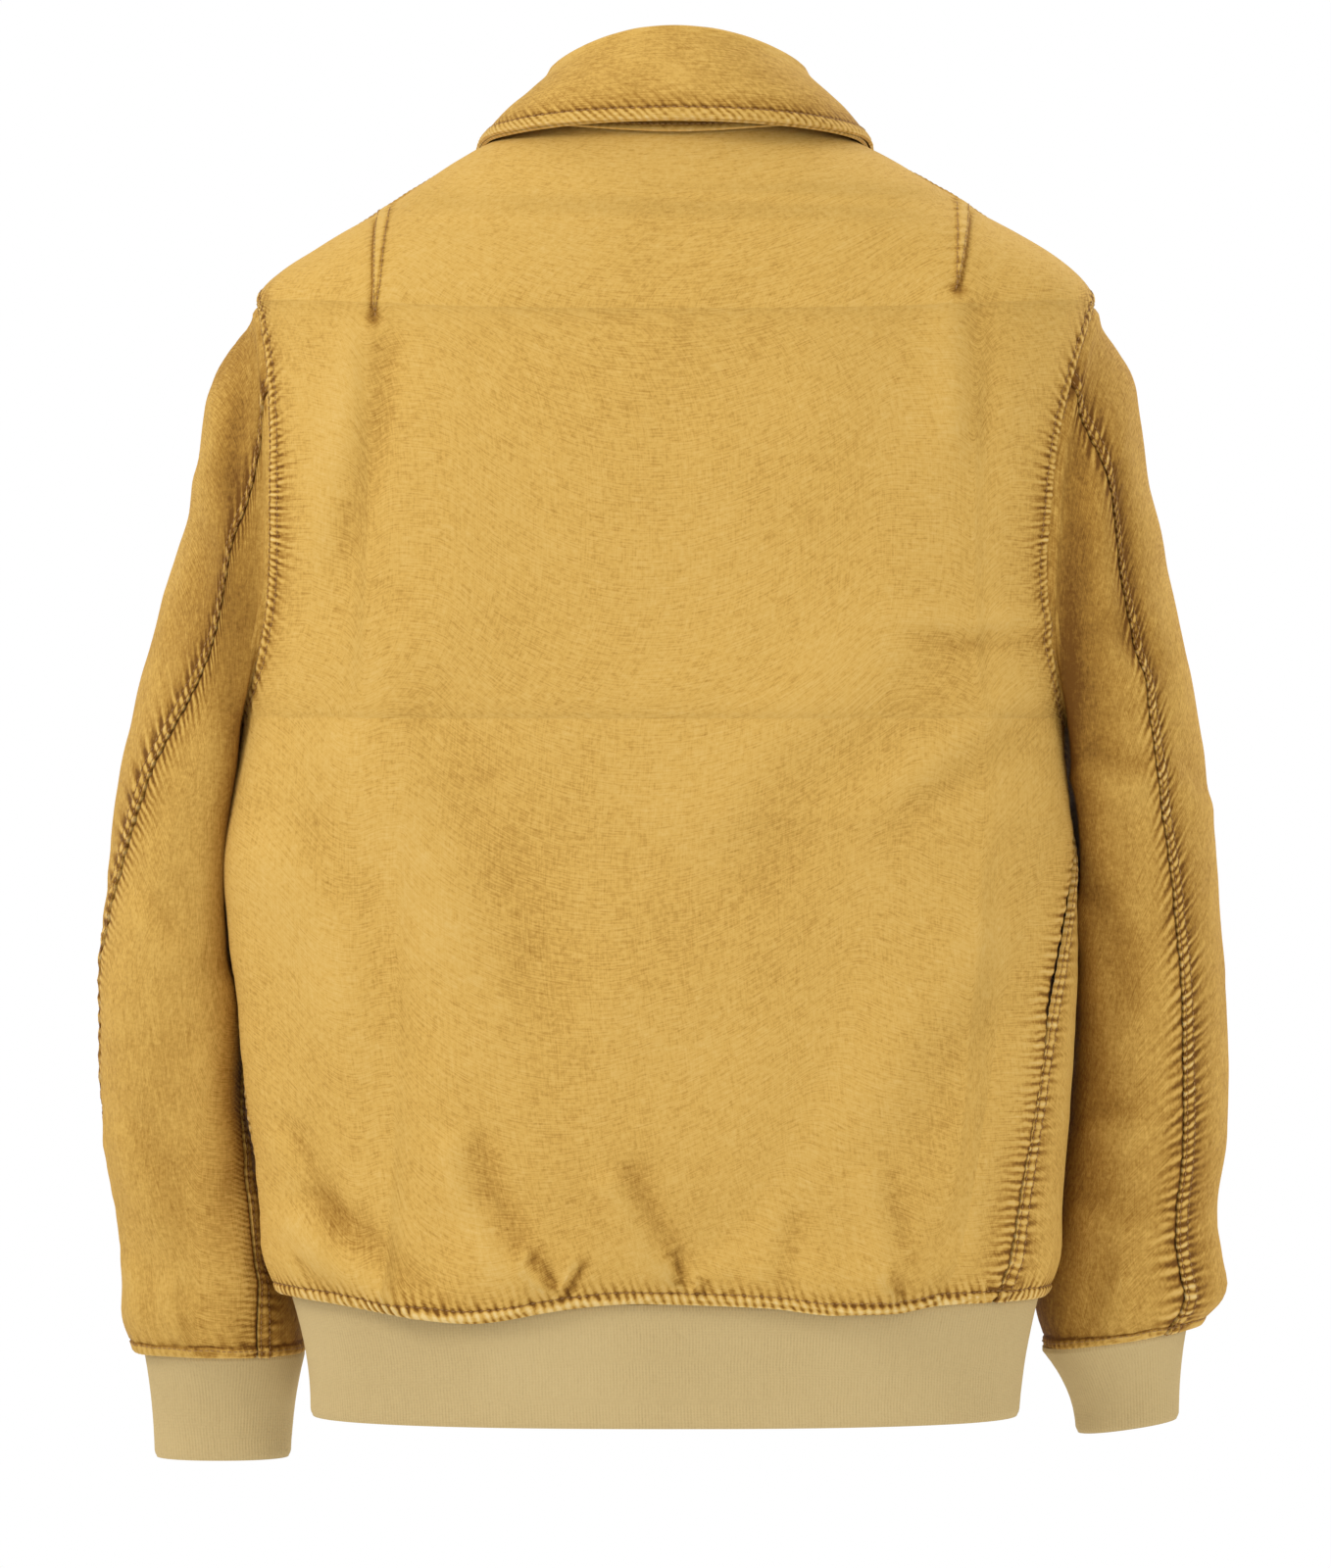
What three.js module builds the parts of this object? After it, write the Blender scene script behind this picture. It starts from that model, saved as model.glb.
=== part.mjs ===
// A canvas blouson jacket: turn-down collar, two-piece sleeves, full front zip, rib-knit hem and cuffs.
// It hangs in its worn shape from the loop inside its neck.
// Millimetres, +Z up, -Y towards the wearer's back, +X towards the wearer's right.
// The origin is the top of the hanger loop, level with the neck seam at the centre back.
import * as THREE from "three";

// ---------------------------------------------------------------- driving dimensions
const BACK_LENGTH = 617; // neck seam to rib seam, centre back
const SIDE_NECK_RISE = 8; // the neck seam is higher at the sides than at the back
const FRONT_NECK_DROP = 80;
const SHOULDER_DROP = 87; // neck seam to shoulder tip
const ARMHOLE_DEPTH = 223; // shoulder tip to underarm
const NECK_HALF = 81; // half of the neck's width
const SHOULDER_HALF = 223;
const CHEST_HALF = 226;
const HEM_HALF = 201;
const NECK_BACK = 76; // the neck's reach behind the torso's axis
const LOOP_INSET = 15; // the hanger loop hangs this far inside the back neck's outer face
const NECK_FRONT = 84;
const BACK_REACH = 122; // the back's reach behind the axis at the shoulder blades
const FRONT_SLOPE = 0.04; // how far the centre front leans forward for each millimetre down
const ARMHOLE_BACK = 62; // the armhole's reach behind the side line
const ARMHOLE_FRONT = 66;

const CLOTH = 2.4; // canvas panel, with its interlining
const LINING = 1.4;
const LINING_OFFSET = 7; // outer face of the canvas to outer face of the lining
const SLEEVE_LINING_OFFSET = 8.5;
const SEAM_GAP = 1; // between two panels at a seam
const KNIT = 3; // rib bands, doubled
const RIB_HEIGHT = 64;
const RIB_SEAM_GAP = 1.6; // between a panel and the rib band
const RIB_DRAW = 10; // how far the rib draws the hem in from rib seam to lower edge

const RIGHT_SEAM_SWING = 54; // the right side seam swings this far to the back at the hem
const RIGHT_SEAM_START = 362; // and leaves the side line at this depth
const LEFT_SEAM_SWING = -6;
const SLEEVE_DEPTH = 64; // half of the sleeve's front-to-back size at the upper arm
const WRIST_DEPTH = 43;
const SLEEVE_TUCK = 5; // how far the sleeve lies in behind the widest line of the body
const CUFF_SEAM_GAP = 1.4;
const ARMHOLE_GAP = 2.8; // sleeve from body, straight out
const CUFF_DEPTH = 27; // half of the cuff's front-to-back size

const COLLAR_STAND = 53; // neck seam to fold, centre back
const COLLAR_EDGE_HALF = 103; // half of the fall's width at its edge
const COLLAR_CLOTH = 1.6;
const COLLAR_PLY_GAP = 0.8; // between the top and under collar
const COLLAR_REST = 1.6; // under collar above the body
const FOLD_RADIUS = 4.2;
const COLLAR_POINT = new THREE.Vector3(52, 99, -122); // tip of a collar leaf, from the torso's axis
const COLLAR_SWEEP = new THREE.Vector3(110, 60, -40); // steers the edge from shoulder to tip

const FRONT_EDGE = 7; // front edge of a panel from the centre line
const FACING_WIDTH = 48;
const TAPE_WIDTH = 14;
const TAPE = 0.8;
const CHAIN_HALF = 3; // half of the closed chain's width
const CHAIN = 2.2; // the chain's thickness
const ZIP_TOP_MARGIN = 6; // top stop below the neck seam
const ZIP_BOTTOM_MARGIN = 3;
const SLIDER_WIDTH = 10;
const SLIDER_LENGTH = 15;
const SLIDER_WALL = 1.1;
const PULL_WIDTH = 7;
const PULL_LENGTH = 30;
const PULL = 1.2;
const EYE_WIDTH = 3.4;
const EYE_HEIGHT = 4;
const BAIL = 1.1; // the bail's wire
const BAIL_WIDTH = 2;
const BODY_GAP = 0.3; // between touching hard pieces

const WELT_LENGTH = 150;
const WELT_WIDTH = 22;
const WELT = 1.6;
const WELT_LEAN = 18; // degrees from the vertical
const WELT_ABOVE_RIB = 212; // rib seam to the top of the pocket
const WELT_FROM_SIDE = 99; // top of the pocket in from the side, as wide as the side is at the bag's foot
const BAG_ABOVE_RIB = 40;
const WELT_GAP = 1.2; // welt from the panel it lies on
const BAG_SHARE = 0.6; // where the bag lies, from the panel to the lining
const POCKET_DEPTH = 120; // bag, from the welt towards the centre front
const LOOP_SPAN = 64;
const LOOP_DROP = 14;
const LOOP_WIDTH = 6;
const LOOP = 1.2;
const AXIS_Y = NECK_BACK - LOOP_INSET; // the torso's axis, in front of the hanger loop

// ---------------------------------------------------------------- small tools
const mix = (a, b, t) => a + (b - a) * t;
const radians = (degrees) => (degrees * Math.PI) / 180;
const power = (x, p) => Math.sign(x) * Math.abs(x) ** p;
const clamp01 = (x) => Math.min(1, Math.max(0, x));
const smooth = (x) => clamp01(x) ** 2 * (3 - 2 * clamp01(x));

// A smooth curve through points that never overshoots them (monotone cubic).
function through(xs, ys) {
  const slopes = xs.slice(1).map((x, i) => (ys[i + 1] - ys[i]) / (x - xs[i]));
  const tangent = xs.map((_, i) => {
    if (i === 0) return slopes[0];
    if (i === xs.length - 1) return slopes[i - 1];
    const [a, b] = [slopes[i - 1], slopes[i]];
    if (a * b <= 0) return 0;
    const [h, k] = [xs[i] - xs[i - 1], xs[i + 1] - xs[i]];
    return (3 * (h + k)) / ((2 * k + h) / a + (k + 2 * h) / b);
  });
  return (x) => {
    let i = 0;
    while (i < xs.length - 2 && x > xs[i + 1]) i++;
    const h = xs[i + 1] - xs[i];
    const t = clamp01((x - xs[i]) / h);
    const [t2, t3] = [t * t, t * t * t];
    return (
      (2 * t3 - 3 * t2 + 1) * ys[i] +
      (t3 - 2 * t2 + t) * h * tangent[i] +
      (3 * t2 - 2 * t3) * ys[i + 1] +
      (t3 - t2) * h * tangent[i + 1]
    );
  };
}

// ---------------------------------------------------------------- the torso's surface
const UNDERARM = SHOULDER_DROP + ARMHOLE_DEPTH;
const SKIRT = BACK_LENGTH - UNDERARM;
const frontLine = (z) => NECK_FRONT + (-FRONT_NECK_DROP - z) * FRONT_SLOPE;

// One row for each level, from the neck to the rib seam. depth is measured down the side line; lean is how
// far the garment hangs to the left; reach is how far the back stands behind the axis; side is the side line's
// own place, in front of the axis.
const lowRow = (share, back) => {
  const depth = UNDERARM + share * SKIRT;
  return { depth, back: depth, front: depth, reach: back };
};
const levels = [
  {
    depth: -SIDE_NECK_RISE,
    back: 0,
    front: FRONT_NECK_DROP,
    half: NECK_HALF,
    lean: 0,
    side: 0,
    reach: NECK_BACK,
  },
  { depth: 35, back: 38, front: 112, half: 156, lean: -3, side: 2, reach: 100 },
  { depth: SHOULDER_DROP, back: 98, front: 160, half: SHOULDER_HALF, lean: -1, side: 2, reach: BACK_REACH - 8 },
  {
    depth: SHOULDER_DROP + 110,
    back: SHOULDER_DROP + 113,
    front: SHOULDER_DROP + 148,
    half: CHEST_HALF - 1,
    lean: 7,
    side: -6,
    reach: BACK_REACH,
  },
  {
    depth: UNDERARM,
    back: UNDERARM + 1,
    front: UNDERARM + 15,
    half: CHEST_HALF - 7,
    lean: 11,
    side: -18,
    reach: BACK_REACH,
  },
  { ...lowRow(0.29, BACK_REACH - 1), front: UNDERARM + 0.31 * SKIRT, half: CHEST_HALF, lean: 13, side: -25 },
  { ...lowRow(0.62, BACK_REACH - 3), half: CHEST_HALF - 4, lean: 8, side: -25 },
  { ...lowRow(0.85, BACK_REACH - 8), half: mix(CHEST_HALF, HEM_HALF, 0.52), lean: 7, side: -22 },
  { ...lowRow(1, BACK_REACH - 15), half: HEM_HALF, lean: 6, side: -20 },
];
const BACK_ROUNDNESS = through([-SIDE_NECK_RISE, SHOULDER_DROP, UNDERARM, BACK_LENGTH], [2, 2.4, 2.6, 2.4]);
const FRONT_ROUNDNESS = 2.15;
const depths = levels.map((row) => row.depth);
const columnOf = (key) => through(depths, levels.map((row) => row[key]));
const level = {
  back: columnOf("back"),
  front: columnOf("front"),
  half: columnOf("half"),
  lean: columnOf("lean"),
  side: columnOf("side"),
  reach: columnOf("reach"),
};

// The ring of the torso at a depth. Angle 0 is the left side, 90 degrees the centre back, 180 the right side
// and 270 the centre front.
function ring(depth) {
  const side = level.side(depth);
  const frontZ = -level.front(depth);
  return {
    left: level.half(depth) + level.lean(depth),
    right: level.half(depth) - level.lean(depth),
    side,
    back: level.reach(depth) + side,
    front: frontLine(frontZ) - side,
    sideZ: -depth,
    backZ: -level.back(depth),
    frontZ,
    backPower: BACK_ROUNDNESS(depth),
  };
}

function ringPoint(r, angle) {
  const [c, s] = [-Math.cos(angle), Math.sin(angle)];
  const p = 2 / (s > 0 ? r.backPower : FRONT_ROUNDNESS);
  const x = power(c, p) * (c < 0 ? r.left : r.right);
  const y = r.side - power(s, p) * (s > 0 ? r.back : r.front);
  const z = mix(r.sideZ, s > 0 ? r.backZ : r.frontZ, s * s);
  return new THREE.Vector3(x, AXIS_Y + y, z);
}

const torso = (depth, angle) => ringPoint(ring(depth), angle);

// The angle, from the side line, at which the ring stands off the side line by a distance.
const backAngle = (r, away) => Math.asin(clamp01(away / r.back) ** (r.backPower / 2));
const frontAngle = (r, away) => Math.asin(clamp01(away / r.front) ** (FRONT_ROUNDNESS / 2));
// The angle from the centre front at which the ring stands this far off the centre line.
const centreAngle = (r, away, width) => Math.asin((away / width) ** (FRONT_ROUNDNESS / 2));

// How far out the torso's side reaches at this depth and this far in front of the axis.
function sideReach(sign, depth, y) {
  const r = ring(Math.min(BACK_LENGTH, depth));
  const away = y - r.side;
  const [reach, p] = away < 0 ? [r.back, r.backPower] : [r.front, FRONT_ROUNDNESS];
  const share = clamp01(Math.abs(away) / reach);
  return (sign > 0 ? r.right : r.left) * (1 - share ** p) ** (1 / p);
}

// The torso's upper part as a lattice of points with their outward normals, to rest other pieces on.
const LATTICE_DROP = 4;
const LATTICE_DEGREES = 3;
const lattice = [];
function yoke() {
  if (lattice.length > 0) return lattice;
  for (let depth = -SIDE_NECK_RISE; depth < UNDERARM; depth += LATTICE_DROP)
    for (let degrees = -90; degrees < 270; degrees += LATTICE_DEGREES) {
      const angle = radians(degrees);
      const point = torso(depth, angle);
      const across = torso(depth, angle + 0.02).sub(torso(depth, angle - 0.02));
      const down = torso(depth + 1, angle).sub(point);
      lattice.push({ point, normal: down.cross(across).normalize() });
    }
  return lattice;
}
function nearest(list, measure) {
  return list.reduce((best, item) => (measure(item) < measure(best) ? item : best));
}
// Moves a point out until it stands at least a gap off the torso.
function restOn(point, gap) {
  const { point: on, normal } = nearest(yoke(), (item) => item.point.distanceToSquared(point));
  const height = point.clone().sub(on).dot(normal);
  return height < gap ? point.clone().addScaledVector(normal, gap - height) : point;
}

// The armhole's outline: 0 at the shoulder tip and underarm, 1 where it is widest.
const ARMHOLE_POWER = 2.2;
function armholeSpread(depth) {
  const t = clamp01((depth - SHOULDER_DROP) / ARMHOLE_DEPTH);
  return (1 - Math.abs(2 * t - 1) ** ARMHOLE_POWER) ** (1 / ARMHOLE_POWER);
}
const inArmhole = (depth) => depth > SHOULDER_DROP && depth < UNDERARM;
// A side seam swings away from the side line quickly, and then runs level with it to the hem.
const SWING_POWER = 4.5;
const swing = (depth, start, reach) =>
  reach * (1 - (1 - clamp01((depth - start) / (BACK_LENGTH - start))) ** SWING_POWER);

// How far each side's seam lies behind the side line, as an angle. Above the shoulder tip it is the shoulder's.
function seamAngle(r, depth, start, reach) {
  const away = swing(Math.max(depth, start), start, reach);
  return away < 0 ? -frontAngle(r, -away) : backAngle(r, away);
}
function backLimits(depth) {
  const r = ring(depth);
  const armhole = inArmhole(depth) ? backAngle(r, ARMHOLE_BACK * armholeSpread(depth)) : 0;
  return [
    armhole + seamAngle(r, depth, UNDERARM, LEFT_SEAM_SWING),
    Math.PI - armhole - seamAngle(r, depth, RIGHT_SEAM_START, RIGHT_SEAM_SWING),
  ];
}
function rightFrontLimits(depth, edge = FRONT_EDGE) {
  const r = ring(depth);
  const armhole = inArmhole(depth) ? frontAngle(r, ARMHOLE_FRONT * armholeSpread(depth)) : 0;
  const start = Math.PI + armhole - seamAngle(r, depth, RIGHT_SEAM_START, RIGHT_SEAM_SWING);
  return [start, 1.5 * Math.PI - centreAngle(r, edge, r.right)];
}
function leftFrontLimits(depth, edge = FRONT_EDGE) {
  const r = ring(depth);
  const armhole = inArmhole(depth) ? frontAngle(r, ARMHOLE_FRONT * armholeSpread(depth)) : 0;
  const end = 2 * Math.PI - armhole + seamAngle(r, depth, UNDERARM, LEFT_SEAM_SWING);
  return [1.5 * Math.PI + centreAngle(r, edge, r.left), end];
}

// ---------------------------------------------------------------- shells
// Points evenly spaced along a path from a to b, with a trim left off each end. Each point also keeps the
// path's direction, taken from both sides of it, so that two panels turn their walls the same way at a seam.
const FINE_STEPS = 160;
const DIRECTION_REACH = 5;
function evenRow(path, a, b, count, trims) {
  const fine = Array.from({ length: FINE_STEPS + 1 }, (_, i) => path(mix(a, b, i / FINE_STEPS)));
  const along = [0];
  for (let i = 1; i < fine.length; i++) along.push(along[i - 1] + fine[i].distanceTo(fine[i - 1]));
  const length = along[FINE_STEPS];
  return Array.from({ length: count + 1 }, (_, k) => {
    const at = mix(trims[0], length - trims[1], k / count);
    let i = 0;
    while (i < FINE_STEPS - 1 && along[i + 1] < at) i++;
    const share = (at - along[i]) / (along[i + 1] - along[i]);
    const point = fine[i].clone().lerp(fine[i + 1], share);
    const angle = mix(a, b, (i + share) / FINE_STEPS);
    point.across = path(angle + reachTo(path, angle, 1)).sub(path(angle - reachTo(path, angle, -1)));
    return point;
  });
}

// How far the angle has to turn for the path to have gone DIRECTION_REACH.
function reachTo(path, angle, way) {
  const start = path(angle);
  let [low, high] = [0, 0.5];
  for (let k = 0; k < 14; k++) {
    const middle = (low + high) / 2;
    if (path(angle + way * middle).distanceTo(start) < DIRECTION_REACH) low = middle;
    else high = middle;
  }
  return high;
}

// A row that runs the other way.
function turned(row) {
  row.forEach((point) => point.across?.negate());
  return row.reverse();
}

// A closed solid from a grid of points: one face at an offset under it, the other a thickness further in.
// Grids run so that across x down points out of the garment. A ring's rows meet themselves.
function shell(rows, thickness, offset = 0, closed = false) {
  const [nv, nu] = [rows.length, rows[0].length];
  const within = (k, count) => Math.min(count - 1, Math.max(0, k));
  const at = (j, i) => rows[within(j, nv)][closed ? (i + nu) % nu : within(i, nu)];
  const positions = [];
  for (const inward of [offset, offset + thickness])
    for (let j = 0; j < nv; j++)
      for (let i = 0; i < nu; i++) {
        const across = rows[j][i].across ?? at(j, i + 1).clone().sub(at(j, i - 1));
        const down = at(j + 1, i).clone().sub(at(j - 1, i));
        const normal = down.cross(across).normalize();
        positions.push(...at(j, i).clone().addScaledVector(normal, -inward));
      }
  const index = [];
  const outer = (j, i) => j * nu + (i % nu);
  const inner = (j, i) => outer(j, i) + nv * nu;
  const quad = (a, b, c, d) => index.push(a, b, c, a, c, d);
  const columns = closed ? nu : nu - 1;
  for (let j = 0; j < nv - 1; j++)
    for (let i = 0; i < columns; i++) {
      quad(outer(j, i), outer(j + 1, i), outer(j + 1, i + 1), outer(j, i + 1));
      quad(inner(j, i), inner(j, i + 1), inner(j + 1, i + 1), inner(j + 1, i));
    }
  for (let i = 0; i < columns; i++) {
    quad(outer(0, i), outer(0, i + 1), inner(0, i + 1), inner(0, i));
    quad(outer(nv - 1, i), inner(nv - 1, i), inner(nv - 1, i + 1), outer(nv - 1, i + 1));
  }
  for (let j = 0; j < nv - 1 && !closed; j++) {
    quad(outer(j, 0), inner(j, 0), inner(j + 1, 0), outer(j + 1, 0));
    quad(outer(j, nu - 1), outer(j + 1, nu - 1), inner(j + 1, nu - 1), inner(j, nu - 1));
  }
  return new THREE.BufferGeometry()
    .setAttribute("position", new THREE.Float32BufferAttribute(positions, 3))
    .setIndex(index);
}

// ---------------------------------------------------------------- materials and the tree
const materials = {
  canvas: new THREE.MeshStandardMaterial({ color: "#d8b062", roughness: 0.9, metalness: 0 }),
  knit: new THREE.MeshStandardMaterial({ color: "#c7ae79", roughness: 0.95, metalness: 0 }),
  lining: new THREE.MeshStandardMaterial({ color: "#8a6a3c", roughness: 0.8, metalness: 0 }),
  tape: new THREE.MeshStandardMaterial({ color: "#a58550", roughness: 0.9, metalness: 0 }),
  brass: new THREE.MeshStandardMaterial({ color: "#9a7a45", roughness: 0.4, metalness: 1 }),
};
const jacket = new THREE.Group();
function add(name, geometry, material, parent = jacket) {
  const mesh = new THREE.Mesh(geometry, materials[material]);
  mesh.name = name;
  parent.add(mesh);
  return mesh;
}

// Rows bunch up where the armhole's outline turns fast, at the shoulder tip and the underarm.
const ARMHOLE_SHARES = [0, 0.015, 0.06, 0.15, 0.27, 0.42, 0.58, 0.73, 0.85, 0.94, 0.985, 1];
const SKIRT_SHARES = [0.08, 0.16, 0.26, 0.38, 0.6, 0.8];
const bodyRows = (top, bottom) => {
  const yokeRows = [10, 45, SHOULDER_DROP - 12];
  const armhole = ARMHOLE_SHARES.map((t) => SHOULDER_DROP + t * ARMHOLE_DEPTH);
  const skirt = SKIRT_SHARES.map((t) => UNDERARM + t * SKIRT);
  const between = [...yokeRows, ...armhole, ...skirt].filter((depth) => depth > top && depth < bottom);
  return [top, ...between, bottom];
};
const torsoRow = (depth, limits, count, trims) =>
  evenRow((a) => torso(depth, a), ...limits, count, trims);
const panel = (limits, count, top, bottom, trims = [SEAM_GAP / 2, SEAM_GAP / 2]) =>
  bodyRows(top, bottom).map((depth) => torsoRow(depth, limits(depth), count, trims));

// ---------------------------------------------------------------- body panels, lining and facings
const TOP = -SIDE_NECK_RISE + SEAM_GAP / 2;
const BOTTOM = BACK_LENGTH - SEAM_GAP / 2;
const BACK_FACING_DEPTH = 48;
const FACING_EDGE = 4; // front edge of a facing from the centre line
const LINING_BESIDE = 2; // lining from facing
function buildBody() {
  add("back_panel", shell(panel(backLimits, 18, TOP, BOTTOM), CLOTH), "canvas");
  add("right_front_panel", shell(panel(rightFrontLimits, 10, TOP, BOTTOM), CLOTH), "canvas");
  add("left_front_panel", shell(panel(leftFrontLimits, 10, TOP, BOTTOM), CLOTH), "canvas");

  const inside = (name, rows, material) => add(name, shell(rows, LINING, LINING_OFFSET), material);
  const rightFacing = (d) => [rightFrontLimits(d, FACING_WIDTH)[1], rightFrontLimits(d, FACING_EDGE)[1]];
  const leftFacing = (d) => [leftFrontLimits(d, FACING_EDGE)[0], leftFrontLimits(d, FACING_WIDTH)[0]];
  inside("right_front_facing", panel(rightFacing, 3, TOP, BOTTOM, [0, 0]), "canvas");
  inside("left_front_facing", panel(leftFacing, 3, TOP, BOTTOM, [0, 0]), "canvas");
  inside("back_neck_facing", panel(backLimits, 12, TOP, BACK_FACING_DEPTH, [9, 9]), "canvas");

  const frontTop = TOP + 1.5;
  const [sideTrim, facingTrim] = [8, 1];
  const rightLining = (d) => rightFrontLimits(d, FACING_WIDTH + LINING_BESIDE);
  const leftLining = (d) => leftFrontLimits(d, FACING_WIDTH + LINING_BESIDE);
  inside("back_lining", panel(backLimits, 12, BACK_FACING_DEPTH + LINING_BESIDE, BOTTOM, [5, 5]), "lining");
  inside("right_front_lining", panel(rightLining, 6, frontTop, BOTTOM, [sideTrim, facingTrim]), "lining");
  inside("left_front_lining", panel(leftLining, 6, frontTop, BOTTOM, [facingTrim, sideTrim]), "lining");
}

// ---------------------------------------------------------------- hem rib
// A band of doubled knit from one front edge to the other, drawn in towards its lower edge.
const BAND_ROWS = [0, 0.35, 0.7, 1];
function buildHemRib() {
  const seam = ring(BACK_LENGTH);
  const row = (down) => {
    const drawn = RIB_DRAW * (1 - (1 - down) ** 2);
    const z = -BACK_LENGTH - mix(RIB_SEAM_GAP, RIB_HEIGHT, down);
    const r = {
      ...seam,
      left: seam.left - KNIT - drawn,
      right: seam.right - 1 - drawn,
      back: seam.back - 1 - 0.6 * drawn,
      front: frontLine(z) - seam.side,
      sideZ: z,
      backZ: z,
      frontZ: z,
    };
    const ends = [centreAngle(r, FRONT_EDGE, r.left), centreAngle(r, FRONT_EDGE, r.right)];
    return evenRow((a) => ringPoint(r, a), ends[0] - Math.PI / 2, 1.5 * Math.PI - ends[1], 40, [0, 0]);
  };
  add("hem_rib", shell(BAND_ROWS.map(row), KNIT), "knit");
}

// ---------------------------------------------------------------- sleeves
// Each sleeve's widths, from its inner line to its outer one, and its seams' turns, in degrees, stand at these
// stations.
const STATIONS = [0, 0.08, 0.2, 0.4, 0.6, 0.8, 0.93, 1];
const OUTER_FALL = [0, 0.05, 0.17, 0.4, 0.63, 0.83, 0.95, 1];
const INNER_FALL = [0, 0.09, 0.21, 0.41, 0.62, 0.82, 0.95, 1];
const sleeves = {
  right: {
    sign: 1,
    outerLength: 553,
    innerLength: 342,
    widths: [19, 33, 44, 70, 86, 98, 101, 84],
    backSeam: [53, 58, 66, 72, 70, 66, 63, 62],
    underSeam: [195, 197, 200, 204, 206, 207, 207, 207],
    wristShift: 8, // the inner line stands this far off the body's side at the wrist
    cuff: { outerDraw: 7, outerLength: 50, innerDraw: 21, innerLength: 46 },
  },
  left: {
    sign: -1,
    outerLength: 567,
    innerLength: 344,
    widths: [6, 11, 19, 61, 86, 94, 97, 92],
    backSeam: [53, 76, 82, 60, 18, -8, -22, -30],
    underSeam: [195, 194, 190, 175, 152, 132, 121, 118],
    wristShift: -3,
    cuff: { outerDraw: 8, outerLength: 57, innerDraw: 10, innerLength: 57 },
  },
};

// The point of the armhole at a turn: 0 at the shoulder tip, 90 degrees at the back, 180 at the underarm.
function armholePoint(sleeve, turn) {
  const depth = SHOULDER_DROP + (ARMHOLE_DEPTH * (1 - Math.cos(turn))) / 2;
  const r = ring(depth);
  const behind = Math.sin(turn) > 0;
  const away = (behind ? ARMHOLE_BACK : ARMHOLE_FRONT) * armholeSpread(depth);
  const angle = behind ? backAngle(r, away) : -frontAngle(r, away);
  return ringPoint(r, sleeve.sign > 0 ? Math.PI - angle : angle);
}

const sleeveMiddle = through([0, 0.3, 1], [0, 10, 44]);
const sleeveDepth = through(
  [0, 0.25, 0.6, 0.85, 1],
  [SLEEVE_DEPTH, SLEEVE_DEPTH + 3, SLEEVE_DEPTH - 4, mix(SLEEVE_DEPTH, WRIST_DEPTH, 0.6), WRIST_DEPTH],
);
function sleeveSection(sleeve, q) {
  const widths = through(STATIONS, sleeve.widths);
  const outerZ = -SHOULDER_DROP - sleeve.outerLength * through(STATIONS, OUTER_FALL)(q);
  const innerZ = -UNDERARM - sleeve.innerLength * through(STATIONS, INNER_FALL)(q);
  const body = ring(Math.min(-innerZ, BACK_LENGTH));
  const bodyEdge = sleeve.sign > 0 ? body.right : body.left;
  const tuck = mix(-1, SLEEVE_TUCK, smooth(q / 0.3));
  const inner = bodyEdge - tuck + sleeve.wristShift * smooth((q - 0.8) / 0.2);
  const top = ring(SHOULDER_DROP);
  const tip = sleeve.sign > 0 ? top.right : top.left;
  const outer = mix(tip, inner + widths(q), smooth(q / 0.12));
  return {
    outer: new THREE.Vector2(sleeve.sign * outer, outerZ),
    inner: new THREE.Vector2(sleeve.sign * inner, innerZ),
    middle: sleeveMiddle(q),
    deep: sleeveDepth(q),
  };
}

const SLEEVE_ROUNDNESS = 2.2;
function sectionPoint(section, turn) {
  const u = (1 + power(Math.cos(turn), 2 / SLEEVE_ROUNDNESS)) / 2;
  const y = section.middle - section.deep * power(Math.sin(turn), 2 / SLEEVE_ROUNDNESS);
  const { x, y: z } = section.inner.clone().lerp(section.outer, u);
  return new THREE.Vector3(x, AXIS_Y + y, z);
}

// A point of the sleeve: it starts on the armhole and settles into its own sections over the first third.
const SETTLED = 0.34;
function sleevePoint(sleeve, q, turn) {
  const point = sectionPoint(sleeveSection(sleeve, q), turn);
  const start = armholePoint(sleeve, turn).sub(sectionPoint(sleeveSection(sleeve, 0), turn));
  point.addScaledVector(start, 1 - smooth(q / SETTLED));
  point.x += sleeve.sign * ARMHOLE_GAP;
  if (-point.z > SHOULDER_DROP) {
    const clear = sideReach(sleeve.sign, -point.z, point.y - AXIS_Y) + ARMHOLE_GAP;
    point.x = sleeve.sign * Math.max(clear, sleeve.sign * point.x);
  }
  return point;
}

const LINING_START = 5; // the sleeve lining leaves the sleeve head free down to this station
const CUFF_GAP = 0.002; // share of a sleeve's length between sleeve and cuff
const sleeveStations = [0, 0.03, 0.07, 0.12, 0.18, 0.26, 0.37, 0.5, 0.63, 0.76, 0.88, 1 - CUFF_GAP];

function sleeveRows(sleeve, from, to, count, closed) {
  return sleeveStations.map((q) => {
    const path = (turn) => sleevePoint(sleeve, q, turn);
    const [a, b] = [radians(from(q)), radians(to(q))];
    const trims = closed ? [0, 0] : [SEAM_GAP / 2, SEAM_GAP / 2];
    const row = evenRow(path, a, b, count, trims);
    if (closed) row.pop();
    return sleeve.sign < 0 ? row : turned(row);
  });
}

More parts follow.
